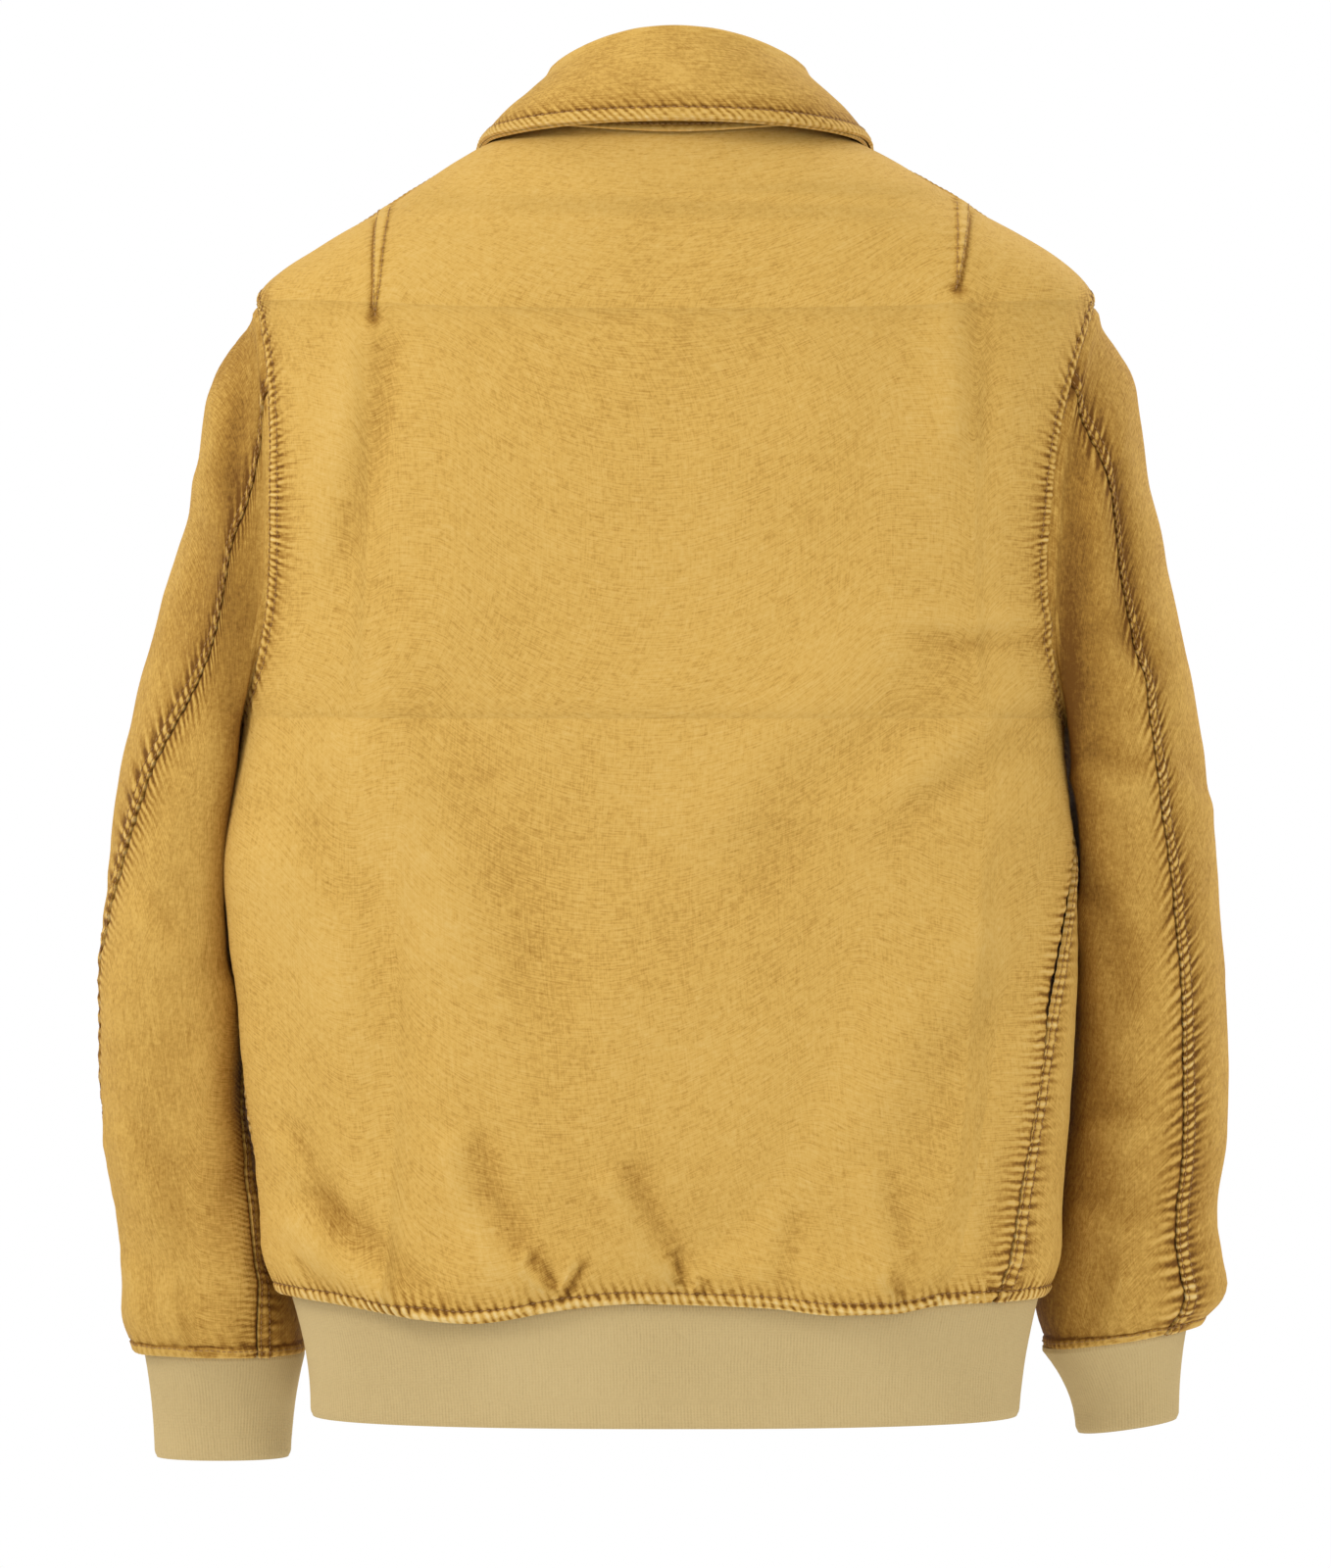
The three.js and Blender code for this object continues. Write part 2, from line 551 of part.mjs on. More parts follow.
function buildSleeve(side) {
  const sleeve = sleeves[side];
  const back = through(STATIONS, sleeve.backSeam);
  const under = through(STATIONS, sleeve.underSeam);
  add(`${side}_under_sleeve`, shell(sleeveRows(sleeve, back, under, 9), CLOTH), "canvas");
  add(`${side}_upper_sleeve`, shell(sleeveRows(sleeve, under, (q) => back(q) + 360, 14), CLOTH), "canvas");
  const lining = sleeveRows(sleeve, () => 0, () => 360, 23, true).slice(LINING_START);
  add(`${side}_sleeve_lining`, shell(lining, LINING, SLEEVE_LINING_OFFSET, true), "lining");

  const wrist = sleeveSection(sleeve, 1);
  const { outerDraw, outerLength, innerDraw, innerLength } = sleeve.cuff;
  const hand = {
    outer: new THREE.Vector2(wrist.outer.x - sleeve.sign * outerDraw, wrist.outer.y - outerLength),
    inner: new THREE.Vector2(wrist.inner.x + sleeve.sign * innerDraw, wrist.inner.y - innerLength),
    middle: wrist.middle + 4,
    deep: CUFF_DEPTH,
  };
  const cuffRow = (down) => {
    const drawn = 1 - (1 - down) ** 2;
    const section = {
      outer: new THREE.Vector2(
        mix(wrist.outer.x - sleeve.sign * KNIT, hand.outer.x, drawn),
        mix(wrist.outer.y - CUFF_SEAM_GAP, hand.outer.y, down),
      ),
      inner: new THREE.Vector2(
        mix(wrist.inner.x + sleeve.sign * KNIT, hand.inner.x, drawn),
        mix(wrist.inner.y - CUFF_SEAM_GAP, hand.inner.y, down),
      ),
      middle: mix(wrist.middle, hand.middle, drawn),
      deep: mix(wrist.deep - KNIT, hand.deep, drawn),
    };
    const row = evenRow((turn) => sectionPoint(section, turn), 0, 2 * Math.PI, 20, [0, 0]);
    row.pop();
    return sleeve.sign < 0 ? row : turned(row);
  };
  add(`${side}_cuff_rib`, shell(BAND_ROWS.map(cuffRow), KNIT, 0, true), "knit");
}

// ---------------------------------------------------------------- collar
const collarFold = {
  left: 64,
  right: 68,
  side: -2,
  back: 63,
  front: 78,
  sideZ: 38,
  backZ: COLLAR_STAND,
  frontZ: -56,
  backPower: 2,
};
const collarBackEdge = {
  left: COLLAR_EDGE_HALF,
  right: COLLAR_EDGE_HALF,
  side: 0,
  back: NECK_BACK + 12,
  front: 1,
  sideZ: 0,
  backZ: 3,
  frontZ: 0,
  backPower: 2,
};
const collarAngles = (edge) => [-Math.PI / 2 + edge, 1.5 * Math.PI - edge];

function collarEdge(angle, ends) {
  if (Math.sin(angle) >= 0) return ringPoint(collarBackEdge, angle);
  const onRight = angle > 1;
  const t = onRight ? (angle - Math.PI) / (ends[1] - Math.PI) : angle / ends[0];
  const start = new THREE.Vector3(COLLAR_EDGE_HALF, 0, 0);
  const leaf = new THREE.QuadraticBezierCurve3(start, COLLAR_SWEEP, COLLAR_POINT).getPoint(t);
  return new THREE.Vector3(onRight ? leaf.x : -leaf.x, AXIS_Y + leaf.y, leaf.z);
}

// From the neck seam up the stand, over the fold and down the fall to the edge.
const COLLAR_PLIES = COLLAR_CLOTH + COLLAR_PLY_GAP / 2;
function collarProfile(angle, ends) {
  const neck = torso(-SIDE_NECK_RISE, angle);
  neck.z += SEAM_GAP + 0.4;
  const fold = ringPoint(collarFold, angle);
  const along = ringPoint(collarFold, angle + 0.01).sub(ringPoint(collarFold, angle - 0.01));
  const out = new THREE.Vector3(0, 0, -1).cross(along).setZ(0).normalize();
  const edge = restOn(collarEdge(angle, ends), COLLAR_PLIES + COLLAR_REST);
  const beside = (way, drop) => fold.clone().addScaledVector(out, way * FOLD_RADIUS).setZ(fold.z - drop);
  const inside = beside(-1, 1.4 * FOLD_RADIUS);
  const outside = beside(1, 1.4 * FOLD_RADIUS);
  const waist = neck.clone().lerp(inside, 0.5);
  const hang = outside.clone().lerp(edge, 0.5).addScaledVector(out, 3);
  const fall = restOn(hang, COLLAR_PLIES + COLLAR_REST);
  return new THREE.CatmullRomCurve3([neck, waist, inside, fold, outside, fall, edge], false, "centripetal");
}

function buildCollar() {
  const neckRing = ring(-SIDE_NECK_RISE);
  const ends = collarAngles(centreAngle(neckRing, FRONT_EDGE, neckRing.left));
  const columns = 24;
  const stations = [0, 0.17, 0.34, 0.43, 0.5, 0.57, 0.66, 0.83, 1];
  const angles = Array.from({ length: columns + 1 }, (_, i) => mix(ends[0], ends[1], i / columns));
  const profiles = angles.map((angle) => collarProfile(angle, ends));
  // The top collar faces the neck on the stand and the weather on the fall, so rows run from edge to neck.
  const rows = [...stations].reverse().map((t) => profiles.map((p) => p.getPoint(t)).reverse());
  add("top_collar", shell(rows, COLLAR_CLOTH, -COLLAR_PLIES), "canvas");
  add("under_collar", shell(rows, COLLAR_CLOTH, COLLAR_PLY_GAP / 2), "canvas");
}

// ---------------------------------------------------------------- front zip
// Everything here lies in a frame whose +Z runs up the centre front, with y 0 on the panels' outer face.
const ZIP_TILT = Math.atan(FRONT_SLOPE);
const zipTop = -FRONT_NECK_DROP - ZIP_TOP_MARGIN;
const zipBottom = -BACK_LENGTH - RIB_HEIGHT + ZIP_BOTTOM_MARGIN;
const ZIP_LENGTH = (zipTop - zipBottom) / Math.cos(ZIP_TILT);
const zipFrame = new THREE.Group();
zipFrame.position.set(0, AXIS_Y + frontLine(zipTop), zipTop);
zipFrame.rotation.x = ZIP_TILT;
const sliderFrame = new THREE.Group();
const STOP_HEIGHT = 5;
sliderFrame.position.z = -STOP_HEIGHT - SLIDER_LENGTH / 2 - 1;

// A flat outline in x and z, given a thickness from y back to y - thickness.
function plate(shape, thickness, y) {
  const settings = { depth: thickness, bevelEnabled: false, curveSegments: 6 };
  const geometry = new THREE.ExtrudeGeometry(shape, settings);
  return geometry.rotateX(Math.PI / 2).translate(0, y, 0);
}
function box(width, thickness, height, x, y, z) {
  return new THREE.BoxGeometry(width, thickness, height).translate(x, y, z);
}
function outline(points) {
  return new THREE.Shape(points.map(([x, y]) => new THREE.Vector2(x, y)));
}

const HALF_PLAY = 0.3; // chain from the centre line and from its tape
const CHAIN_STOPS_SHORT = 14; // the chain leaves room for the retainer box
const CHAIN_WIDTH = CHAIN_HALF - HALF_PLAY;
const RETAINER_HEIGHT = 12;
function buildZip() {
  jacket.add(zipFrame);
  zipFrame.add(sliderFrame);
  const zipY = -mix(CLOTH, LINING_OFFSET, 0.5);
  const chainLength = ZIP_LENGTH - STOP_HEIGHT - CHAIN_STOPS_SHORT;
  const chainZ = -STOP_HEIGHT - HALF_PLAY - chainLength / 2;
  for (const [side, sign] of [["left", -1], ["right", 1]]) {
    const tapeX = sign * (CHAIN_HALF + HALF_PLAY + TAPE_WIDTH / 2);
    const chainX = (sign * (CHAIN_HALF + HALF_PLAY)) / 2;
    const tape = box(TAPE_WIDTH, TAPE, ZIP_LENGTH, tapeX, zipY, -ZIP_LENGTH / 2);
    const chain = box(CHAIN_WIDTH, CHAIN, chainLength, chainX, zipY, chainZ);
    const stop = box(CHAIN_WIDTH, CHAIN + 0.6, STOP_HEIGHT - 0.6, chainX, zipY, -STOP_HEIGHT / 2);
    add(`${side}_zip_tape`, tape, "tape", zipFrame);
    add(`${side}_zip_chain`, chain, "brass", zipFrame);
    add(`${side}_top_stop`, stop, "brass", zipFrame);
  }
  const retainerZ = -ZIP_LENGTH + RETAINER_HEIGHT / 2 + 1;
  const retainer = box(2 * CHAIN_HALF, CHAIN + 1.4, RETAINER_HEIGHT, 0, zipY, retainerZ);
  add("zip_retainer_box", retainer, "brass", zipFrame);

  // Slider: a front plate with a rail down each side of the chain and a bail that the pull hangs in.
  const front = zipY + CHAIN / 2 + 0.4;
  const railDepth = CHAIN / 2 - TAPE / 2 + 0.1;
  const rail = SLIDER_WIDTH / 2 - CHAIN_HALF - 0.5;
  const c = SLIDER_WIDTH / 2;
  const [y0, y1, y2] = [front - railDepth, front, front + SLIDER_WALL];
  const leftRail = [[-c, y2], [-c, y0], [-c + rail, y0], [-c + rail, y1]];
  const rightRail = [[c - rail, y1], [c - rail, y0], [c, y0], [c, y2]];
  const channel = outline([...leftRail, ...rightRail]);
  const body = new THREE.ExtrudeGeometry(channel, { depth: SLIDER_LENGTH, bevelEnabled: false });
  add("zip_slider", body.translate(0, 0, -SLIDER_LENGTH / 2), "brass", sliderFrame);
  // Bail: a wire bracket on the slider's face, seen from the side. The pull's cross bar has play in it.
  const [near, far] = [BODY_GAP, BODY_GAP + PULL + 0.8];
  const [low, high] = [-EYE_HEIGHT / 2, EYE_HEIGHT / 2 - 0.9];
  const [roof, floor, wall] = [high + BAIL, low - BAIL, far + BAIL];
  const bracket = [[near, roof], [wall, roof], [wall, floor], [near, floor]];
  const room = [[near, low], [far, low], [far, high], [near, high]];
  const bail = new THREE.ExtrudeGeometry(outline([...bracket, ...room]), {
    depth: BAIL_WIDTH,
    bevelEnabled: false,
  });
  bail.rotateX(Math.PI / 2).rotateZ(Math.PI / 2).translate(-BAIL_WIDTH / 2, y2, 0);
  add("zip_pull_bail", bail, "brass", sliderFrame);

  // Pull: a tab whose eye goes round the bail. It hangs from the cross bar at the top of its eye.
  const w = PULL_WIDTH / 2;
  const tab = new THREE.Shape();
  tab.moveTo(-w, 0.6);
  tab.lineTo(-w, -PULL_LENGTH + w);
  tab.absarc(0, -PULL_LENGTH + w, w, Math.PI, 2 * Math.PI, false);
  tab.lineTo(w, 0.6);
  const eye = new THREE.Path();
  const [ex, top] = [EYE_WIDTH / 2, -0.6];
  eye.moveTo(-ex, top);
  eye.lineTo(ex, top);
  eye.lineTo(ex, top - EYE_HEIGHT);
  eye.lineTo(-ex, top - EYE_HEIGHT);
  tab.holes.push(eye);
  const pullFrame = new THREE.Group();
  pullFrame.position.set(0, y2 + (near + far) / 2, high - 0.9);
  sliderFrame.add(pullFrame);
  add("zip_pull_tab", plate(tab, PULL, PULL / 2), "brass", pullFrame);
}

// ---------------------------------------------------------------- pockets
// A patch of a front's surface: a rectangle laid on it, leaning towards the side as it goes down.
function frontPatch(sign, across, down, columns, rows) {
  const lean = radians(WELT_LEAN);
  const reach = level.half(BACK_LENGTH - BAG_ABOVE_RIB) - WELT_FROM_SIDE;
  const find = (x, z) => {
    let depth = -z;
    for (let k = 0; k < 6; k++) {
      const r = ring(depth);
      const width = sign > 0 ? r.right : r.left;
      const angle = 1.5 * Math.PI - sign * centreAngle(r, Math.abs(x), width);
      depth += ringPoint(r, angle).z - z;
    }
    const r = ring(depth);
    return ringPoint(r, 1.5 * Math.PI - sign * centreAngle(r, Math.abs(x), sign > 0 ? r.right : r.left));
  };
  return Array.from({ length: rows + 1 }, (_, j) => {
    const row = Array.from({ length: columns + 1 }, (_, i) => {
      const [a, d] = [mix(...across, i / columns), mix(...down, j / rows)];
      const x = reach + a * Math.cos(lean) + d * Math.sin(lean);
      const z = WELT_ABOVE_RIB - BACK_LENGTH - d * Math.cos(lean) + a * Math.sin(lean);
      return find(sign * x, z);
    });
    return sign > 0 ? row.reverse() : row;
  });
}

function buildPocket(side) {
  const sign = side === "right" ? 1 : -1;
  const welt = frontPatch(sign, [-WELT_WIDTH / 2, WELT_WIDTH / 2], [0, WELT_LENGTH], 2, 6);
  add(`${side}_pocket_welt`, shell(welt, WELT, -WELT - WELT_GAP), "canvas");
  const bag = frontPatch(sign, [-POCKET_DEPTH * 0.5, WELT_WIDTH / 2], [-5, WELT_LENGTH + 20], 5, 6);
  const bagOffset = mix(CLOTH, LINING_OFFSET, BAG_SHARE) - LINING / 2;
  add(`${side}_pocket_bag`, shell(bag, LINING, bagOffset), "lining");
}

// ---------------------------------------------------------------- hanger loop
// A strap sewn inside the back neck. Its top is the jacket's origin.
function buildLoop() {
  const arc = new THREE.QuadraticBezierCurve3(
    new THREE.Vector3(-LOOP_SPAN / 2, 0, -LOOP_DROP - LOOP_WIDTH),
    new THREE.Vector3(0, 0, LOOP_DROP - LOOP_WIDTH),
    new THREE.Vector3(LOOP_SPAN / 2, 0, -LOOP_DROP - LOOP_WIDTH),
  );
  const inward = LINING_OFFSET + LINING + 1;
  const behind = yoke().filter((item) => item.point.y < 0);
  const wall = behind.map((item) => item.point.clone().addScaledVector(item.normal, -inward));
  const facing = (x, z) => nearest(wall, (point) => Math.hypot(point.x - x, point.z - z)).y;
  const upper = arc.getPoints(10).map((p) => new THREE.Vector3(p.x, 0, p.z + LOOP_WIDTH));
  const rows = [upper, upper.map((p) => p.clone().setZ(p.z - LOOP_WIDTH))];
  // The strap's middle hangs free, and its ends lie against the facing.
  rows.flat().forEach((p) => {
    const share = Math.abs(p.x) / (LOOP_SPAN / 2);
    p.y = mix(LOOP / 2, facing(p.x, p.z) + LOOP, share ** 4);
  });
  add("hanger_loop", shell(rows, LOOP), "tape");
}

buildBody();
buildHemRib();
buildSleeve("right");
buildSleeve("left");
buildCollar();
buildZip();
buildPocket("right");
buildPocket("left");
buildLoop();

export default jacket;
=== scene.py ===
"""Looks of a washed-canvas blouson jacket: panels, knit, collar, zip, pockets, stitching and stage."""
import math
from functools import partial

import bpy
import numpy as np
from bpy.props import FloatProperty, FloatVectorProperty, PointerProperty
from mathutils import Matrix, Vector, kdtree


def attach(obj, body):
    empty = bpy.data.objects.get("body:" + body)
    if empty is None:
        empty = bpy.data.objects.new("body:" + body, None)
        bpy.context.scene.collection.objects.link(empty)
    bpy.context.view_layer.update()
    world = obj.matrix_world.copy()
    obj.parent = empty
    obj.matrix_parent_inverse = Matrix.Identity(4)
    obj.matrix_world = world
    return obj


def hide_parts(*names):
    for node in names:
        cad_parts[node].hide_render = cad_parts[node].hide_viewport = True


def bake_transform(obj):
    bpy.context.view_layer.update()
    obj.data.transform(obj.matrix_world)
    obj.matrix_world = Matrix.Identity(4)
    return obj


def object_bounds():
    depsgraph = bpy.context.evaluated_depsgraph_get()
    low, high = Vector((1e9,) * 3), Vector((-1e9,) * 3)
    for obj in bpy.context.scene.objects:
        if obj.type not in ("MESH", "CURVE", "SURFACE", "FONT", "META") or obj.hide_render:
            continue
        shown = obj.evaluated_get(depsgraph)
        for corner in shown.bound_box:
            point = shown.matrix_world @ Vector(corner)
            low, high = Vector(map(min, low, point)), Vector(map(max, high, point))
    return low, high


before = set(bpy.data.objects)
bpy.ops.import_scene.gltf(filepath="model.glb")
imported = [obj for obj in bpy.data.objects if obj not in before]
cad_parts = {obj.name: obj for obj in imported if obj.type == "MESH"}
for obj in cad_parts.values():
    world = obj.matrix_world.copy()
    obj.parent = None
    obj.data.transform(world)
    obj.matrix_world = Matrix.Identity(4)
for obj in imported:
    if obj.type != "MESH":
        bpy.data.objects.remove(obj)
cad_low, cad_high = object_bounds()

bl_info = {
    "name": "Canvas Blouson",
    "version": (1, 0, 0),
    "blender": (4, 5, 0),
    "location": "3D View > Sidebar > Blouson",
    "description": "Builds the cloth, knit, zip and stitching of a canvas blouson on its packed frame",
    "category": "Object",
}

# Outlines are worked out in millimetres, and become metres as a mesh is written.
MM = 0.001
TAU = 2 * math.pi

# ------------------------------------------------------------------ sizes that the frame was cut to
SIDE_NECK_RISE, SHOULDER_DROP, ARMHOLE_DEPTH, BACK_LENGTH = 8, 87, 223, 617
UNDERARM = SHOULDER_DROP + ARMHOLE_DEPTH
NECK_BACK, NECK_FRONT, FRONT_NECK_DROP, FRONT_SLOPE = 76, 84, 80, 0.04
AXIS_Y = 61
ARMHOLE_BACK, ARMHOLE_FRONT = 62, 66
ARMHOLE_POWER = 2.2
FRONT_ROUNDNESS = 2.15
LEFT_SEAM_SWING, RIGHT_SEAM_SWING, RIGHT_SEAM_START = -6, 54, 362
SWING_POWER = 4.5
CLOTH, LINING, KNIT = 2.4, 1.4, 3.0
LINING_OFFSET, SLEEVE_LINING_OFFSET = 7.0, 8.5
SEAM_GAP = 1.0
FRONT_EDGE, FACING_WIDTH = 7, 48
RIB_HEIGHT, RIB_DRAW = 64, 10
TOP = -SIDE_NECK_RISE + SEAM_GAP / 2
BOTTOM = BACK_LENGTH - SEAM_GAP / 2

# How far from a seam each column of cloth lies. The two stitch lines of a felled seam are among them.
FROM_SEAM = np.array([0, 0.6, 1.4, 2.4, 3.8, 5.2, 6.4, 7.4, 8.8, 10.6, 12.8, 15.4, 18.6, 22.4, 27, 32.5])
NEAR_LINE, FAR_LINE = 2, 6
BAND = 7.2
STITCH_LIFT = 0.25
RUNG = 0.0047  # metres from one dark ripple of a stitched seam to the next
RUNG_UNEVENNESS = 9.0


# ------------------------------------------------------------------ small tools
def mix(a, b, t):
    return a + (b - a) * t


def smooth(x):
    x = np.clip(x, 0, 1)
    return x * x * (3 - 2 * x)


def power(x, p):
    return np.sign(x) * np.abs(x) ** p


def bell(x, width):
    return np.exp(-((x / width) ** 2))


def unit(v):
    return v / np.maximum(np.linalg.norm(v, axis=-1, keepdims=True), 1e-12)


def through(xs, ys):
    """A smooth curve through points that never overshoots them."""
    xs, ys = np.asarray(xs, float), np.asarray(ys, float)
    h = np.diff(xs)
    slope = np.diff(ys) / h
    tangent = np.empty(len(xs))
    tangent[0], tangent[-1] = slope[0], slope[-1]
    for i in range(1, len(xs) - 1):
        a, b = slope[i - 1], slope[i]
        if a * b <= 0:
            tangent[i] = 0
        else:
            left, right = h[i - 1], h[i]
            tangent[i] = 3 * (left + right) / ((2 * right + left) / a + (right + 2 * left) / b)

    def curve(x):
        x = np.asarray(x, float)
        i = np.clip(np.searchsorted(xs, x, side="left") - 1, 0, len(xs) - 2)
        t = np.clip((x - xs[i]) / h[i], 0, 1)
        t2, t3 = t * t, t * t * t
        return (
            (2 * t3 - 3 * t2 + 1) * ys[i]
            + (t3 - 2 * t2 + t) * h[i] * tangent[i]
            + (3 * t2 - 2 * t3) * ys[i + 1]
            + (t3 - t2) * h[i] * tangent[i + 1]
        )

    return curve


NOISE_CELLS = 512


def wander(along, spacing, seed):
    """Smooth noise from -1 to 1, with its bumps about this far apart."""
    values = np.random.default_rng(seed).uniform(-1, 1, NOISE_CELLS)
    x = along / spacing + 100
    i = np.floor(x).astype(int)
    t = smooth(x - i)
    return mix(values[i % NOISE_CELLS], values[(i + 1) % NOISE_CELLS], t)


def crumple(x, z, spacing, seed):
    """Smooth noise over a surface, from -1 to 1."""
    values = np.random.default_rng(seed).uniform(-1, 1, (NOISE_CELLS, NOISE_CELLS))
    x, z = x / spacing + 200, z / spacing + 200
    i, j = np.floor(x).astype(int), np.floor(z).astype(int)
    s, t = smooth(x - i), smooth(z - j)
    i0, i1, j0, j1 = i % NOISE_CELLS, (i + 1) % NOISE_CELLS, j % NOISE_CELLS, (j + 1) % NOISE_CELLS
    return mix(mix(values[i0, j0], values[i1, j0], s), mix(values[i0, j1], values[i1, j1], s), t)


def rungs(along, pitch, seed):
    """The uneven ripples that stitching draws into cloth along a seam, from -1 to 1."""
    phase = TAU * along / pitch + 2.4 * wander(along, 3.1 * pitch, seed)
    return np.sin(phase) * (0.62 + 0.38 * wander(along, 4.3 * pitch, seed + 1))


# ------------------------------------------------------------------ the torso's surface
LEVEL_DEPTHS = [-8, 35, 87, 197, 310, 399.03, 500.34, 570.95, 617]
LEVEL = {
    "back": through(LEVEL_DEPTHS, [0, 38, 98, 200, 311, 399.03, 500.34, 570.95, 617]),
    "front": through(LEVEL_DEPTHS, [80, 112, 160, 235, 325, 405.17, 500.34, 570.95, 617]),
    "half": through(LEVEL_DEPTHS, [81, 156, 223, 225, 219, 226, 222, 213, 201]),
    "lean": through(LEVEL_DEPTHS, [0, -3, -1, 7, 11, 13, 8, 7, 6]),
    "side": through(LEVEL_DEPTHS, [0, 2, 2, -6, -18, -25, -25, -22, -20]),
    "reach": through(LEVEL_DEPTHS, [76, 100, 114, 122, 122, 121, 119, 114, 107]),
}
BACK_ROUNDNESS = through([-8, 87, 310, 617], [2, 2.4, 2.6, 2.4])


def front_line(z):
    return NECK_FRONT + (-FRONT_NECK_DROP - z) * FRONT_SLOPE


def ring(depth):
    """The sizes of the torso's ring at a depth, or at each of an array of depths."""
    side = LEVEL["side"](depth)
    half, lean = LEVEL["half"](depth), LEVEL["lean"](depth)
    front_z = -LEVEL["front"](depth)
    return {
        "left": half + lean,
        "right": half - lean,
        "side": side,
        "back": LEVEL["reach"](depth) + side,
        "front": front_line(front_z) - side,
        "side_z": -np.asarray(depth, float),
        "back_z": -LEVEL["back"](depth),
        "front_z": front_z,
        "back_power": BACK_ROUNDNESS(depth),
    }


def ring_point(r, angle):
    """A ring's point: 0 is the left side, a quarter the centre back, a half the right side."""
    c, s = -np.cos(angle), np.sin(angle)
    behind = s > 0
    p = 2 / np.where(behind, r["back_power"], FRONT_ROUNDNESS)
    x = power(c, p) * np.where(c < 0, r["left"], r["right"])
    y = r["side"] - power(s, p) * np.where(behind, r["back"], r["front"])
    z = mix(r["side_z"], np.where(behind, r["back_z"], r["front_z"]), s * s)
    return np.stack(np.broadcast_arrays(x, AXIS_Y + y, z), axis=-1)


def torso(depth, angle):
    return ring_point(ring(depth), angle)


def torso_normal(depth, angle):
    across = torso(depth, angle + 0.02) - torso(depth, angle - 0.02)
    down = torso(depth + 1.5, angle) - torso(depth - 1.5, angle)
    return unit(np.cross(down, across))


def back_angle(r, away):
    return np.arcsin(np.clip(away / r["back"], 0, 1) ** (r["back_power"] / 2))


def front_angle(r, away):
    return np.arcsin(np.clip(away / r["front"], 0, 1) ** (FRONT_ROUNDNESS / 2))


def centre_angle(away, width):
    return np.arcsin(np.clip(away / width, 0, 1) ** (FRONT_ROUNDNESS / 2))


def side_reach(sign, depth, y):
    r = ring(np.minimum(BACK_LENGTH, depth))
    away = y - r["side"]
    reach = np.where(away < 0, r["back"], r["front"])
    p = np.where(away < 0, r["back_power"], FRONT_ROUNDNESS)
    share = np.clip(np.abs(away) / reach, 0, 1)
    return r["right" if sign > 0 else "left"] * (1 - share**p) ** (1 / p)


def armhole_spread(depth):
    t = np.clip((depth - SHOULDER_DROP) / ARMHOLE_DEPTH, 0, 1)
    return (1 - np.abs(2 * t - 1) ** ARMHOLE_POWER) ** (1 / ARMHOLE_POWER)


def seam_angle(r, depth, start, reach):
    """How far behind the side line a side seam lies."""
    away = reach * (1 - (1 - np.clip((depth - start) / (BACK_LENGTH - start), 0, 1)) ** SWING_POWER)
    return back_angle(r, away) if reach > 0 else -front_angle(r, -away)


def back_limits(depth):
    r = ring(depth)
    armhole = back_angle(r, ARMHOLE_BACK * armhole_spread(depth))
    left = armhole + seam_angle(r, depth, UNDERARM, LEFT_SEAM_SWING)
    return left, math.pi - armhole - seam_angle(r, depth, RIGHT_SEAM_START, RIGHT_SEAM_SWING)


def right_front_limits(depth, edge=FRONT_EDGE):
    r = ring(depth)
    armhole = front_angle(r, ARMHOLE_FRONT * armhole_spread(depth))
    start = math.pi + armhole - seam_angle(r, depth, RIGHT_SEAM_START, RIGHT_SEAM_SWING)
    return start, 1.5 * math.pi - centre_angle(edge, r["right"])


def left_front_limits(depth, edge=FRONT_EDGE):
    r = ring(depth)
    armhole = front_angle(r, ARMHOLE_FRONT * armhole_spread(depth))
    end = TAU - armhole + seam_angle(r, depth, UNDERARM, LEFT_SEAM_SWING)
    return 1.5 * math.pi + centre_angle(edge, r["left"]), end


# ------------------------------------------------------------------ cloth grids
class Cloth:
    """Points on the garment in rows and columns, with their normals, lengths, relief, random tone and painted
    light and shade.
    """

    def __init__(self, points, normals, closed=False):
        self.points, self.normals, self.closed = points, normals, closed
        steps = np.linalg.norm(np.diff(points, axis=1), axis=2)
        self.across = np.concatenate([np.zeros((len(points), 1)), np.cumsum(steps, axis=1)], axis=1)
        self.from_end = self.across[:, -1:] - self.across
        steps = np.linalg.norm(np.diff(points, axis=0), axis=2)
        self.down = np.concatenate([np.zeros((1, points.shape[1])), np.cumsum(steps, axis=0)], axis=0)
        self.from_foot = self.down[-1:] - self.down
        self.relief = np.zeros(points.shape[:2])
        self.painted_light_and_tone = np.zeros(points.shape[:2])
        self.rung = np.zeros(points.shape[:2])
        self.along = np.zeros(points.shape[:2])
        self.weight = None

    def add(self, relief, painted_light_and_tone=0.0):
        self.relief = self.relief + relief
        self.painted_light_and_tone = self.painted_light_and_tone + painted_light_and_tone

    def sew(self, off, along, strength, band=None):
        """Notes how strongly stitching ripples the cloth at a distance off a seam, and how far along it."""
        near = smooth(((BAND if band is None else band) + 0.7 - off) / 1.4)
        amount = strength * (near + 0.8 * np.exp(-np.maximum(off - BAND, 0) / 5) * (1 - near))
        nearer = amount > self.rung
        self.rung = np.where(nearer, amount, self.rung)
        self.along = np.where(nearer, along + 0 * amount, self.along)

    def face(self, lift=0.0):
        return self.points + self.normals * (self.relief + lift)[..., None]

    def area(self):
        """The cloth's area in square metres, before its relief."""
        a = self.points[1:, 1:] - self.points[:-1, :-1]
        b = self.points[1:, :-1] - self.points[:-1, 1:]
        return np.linalg.norm(np.cross(a, b), axis=2).sum() / 2 * MM * MM


def spread_columns(length, from_start, from_end, middle):
    """Distances along a row: close together at its two ends, evenly spread between them."""
    room = 0.45 * length / max(from_start[-1], from_end[-1])
    start, end = from_start * min(1, room), from_end * min(1, room)
    between = np.linspace(start[-1], length - end[-1], middle + 2)[1:-1]
    return np.concatenate([start, between, length - end[::-1]])


PATH_STEPS = 240


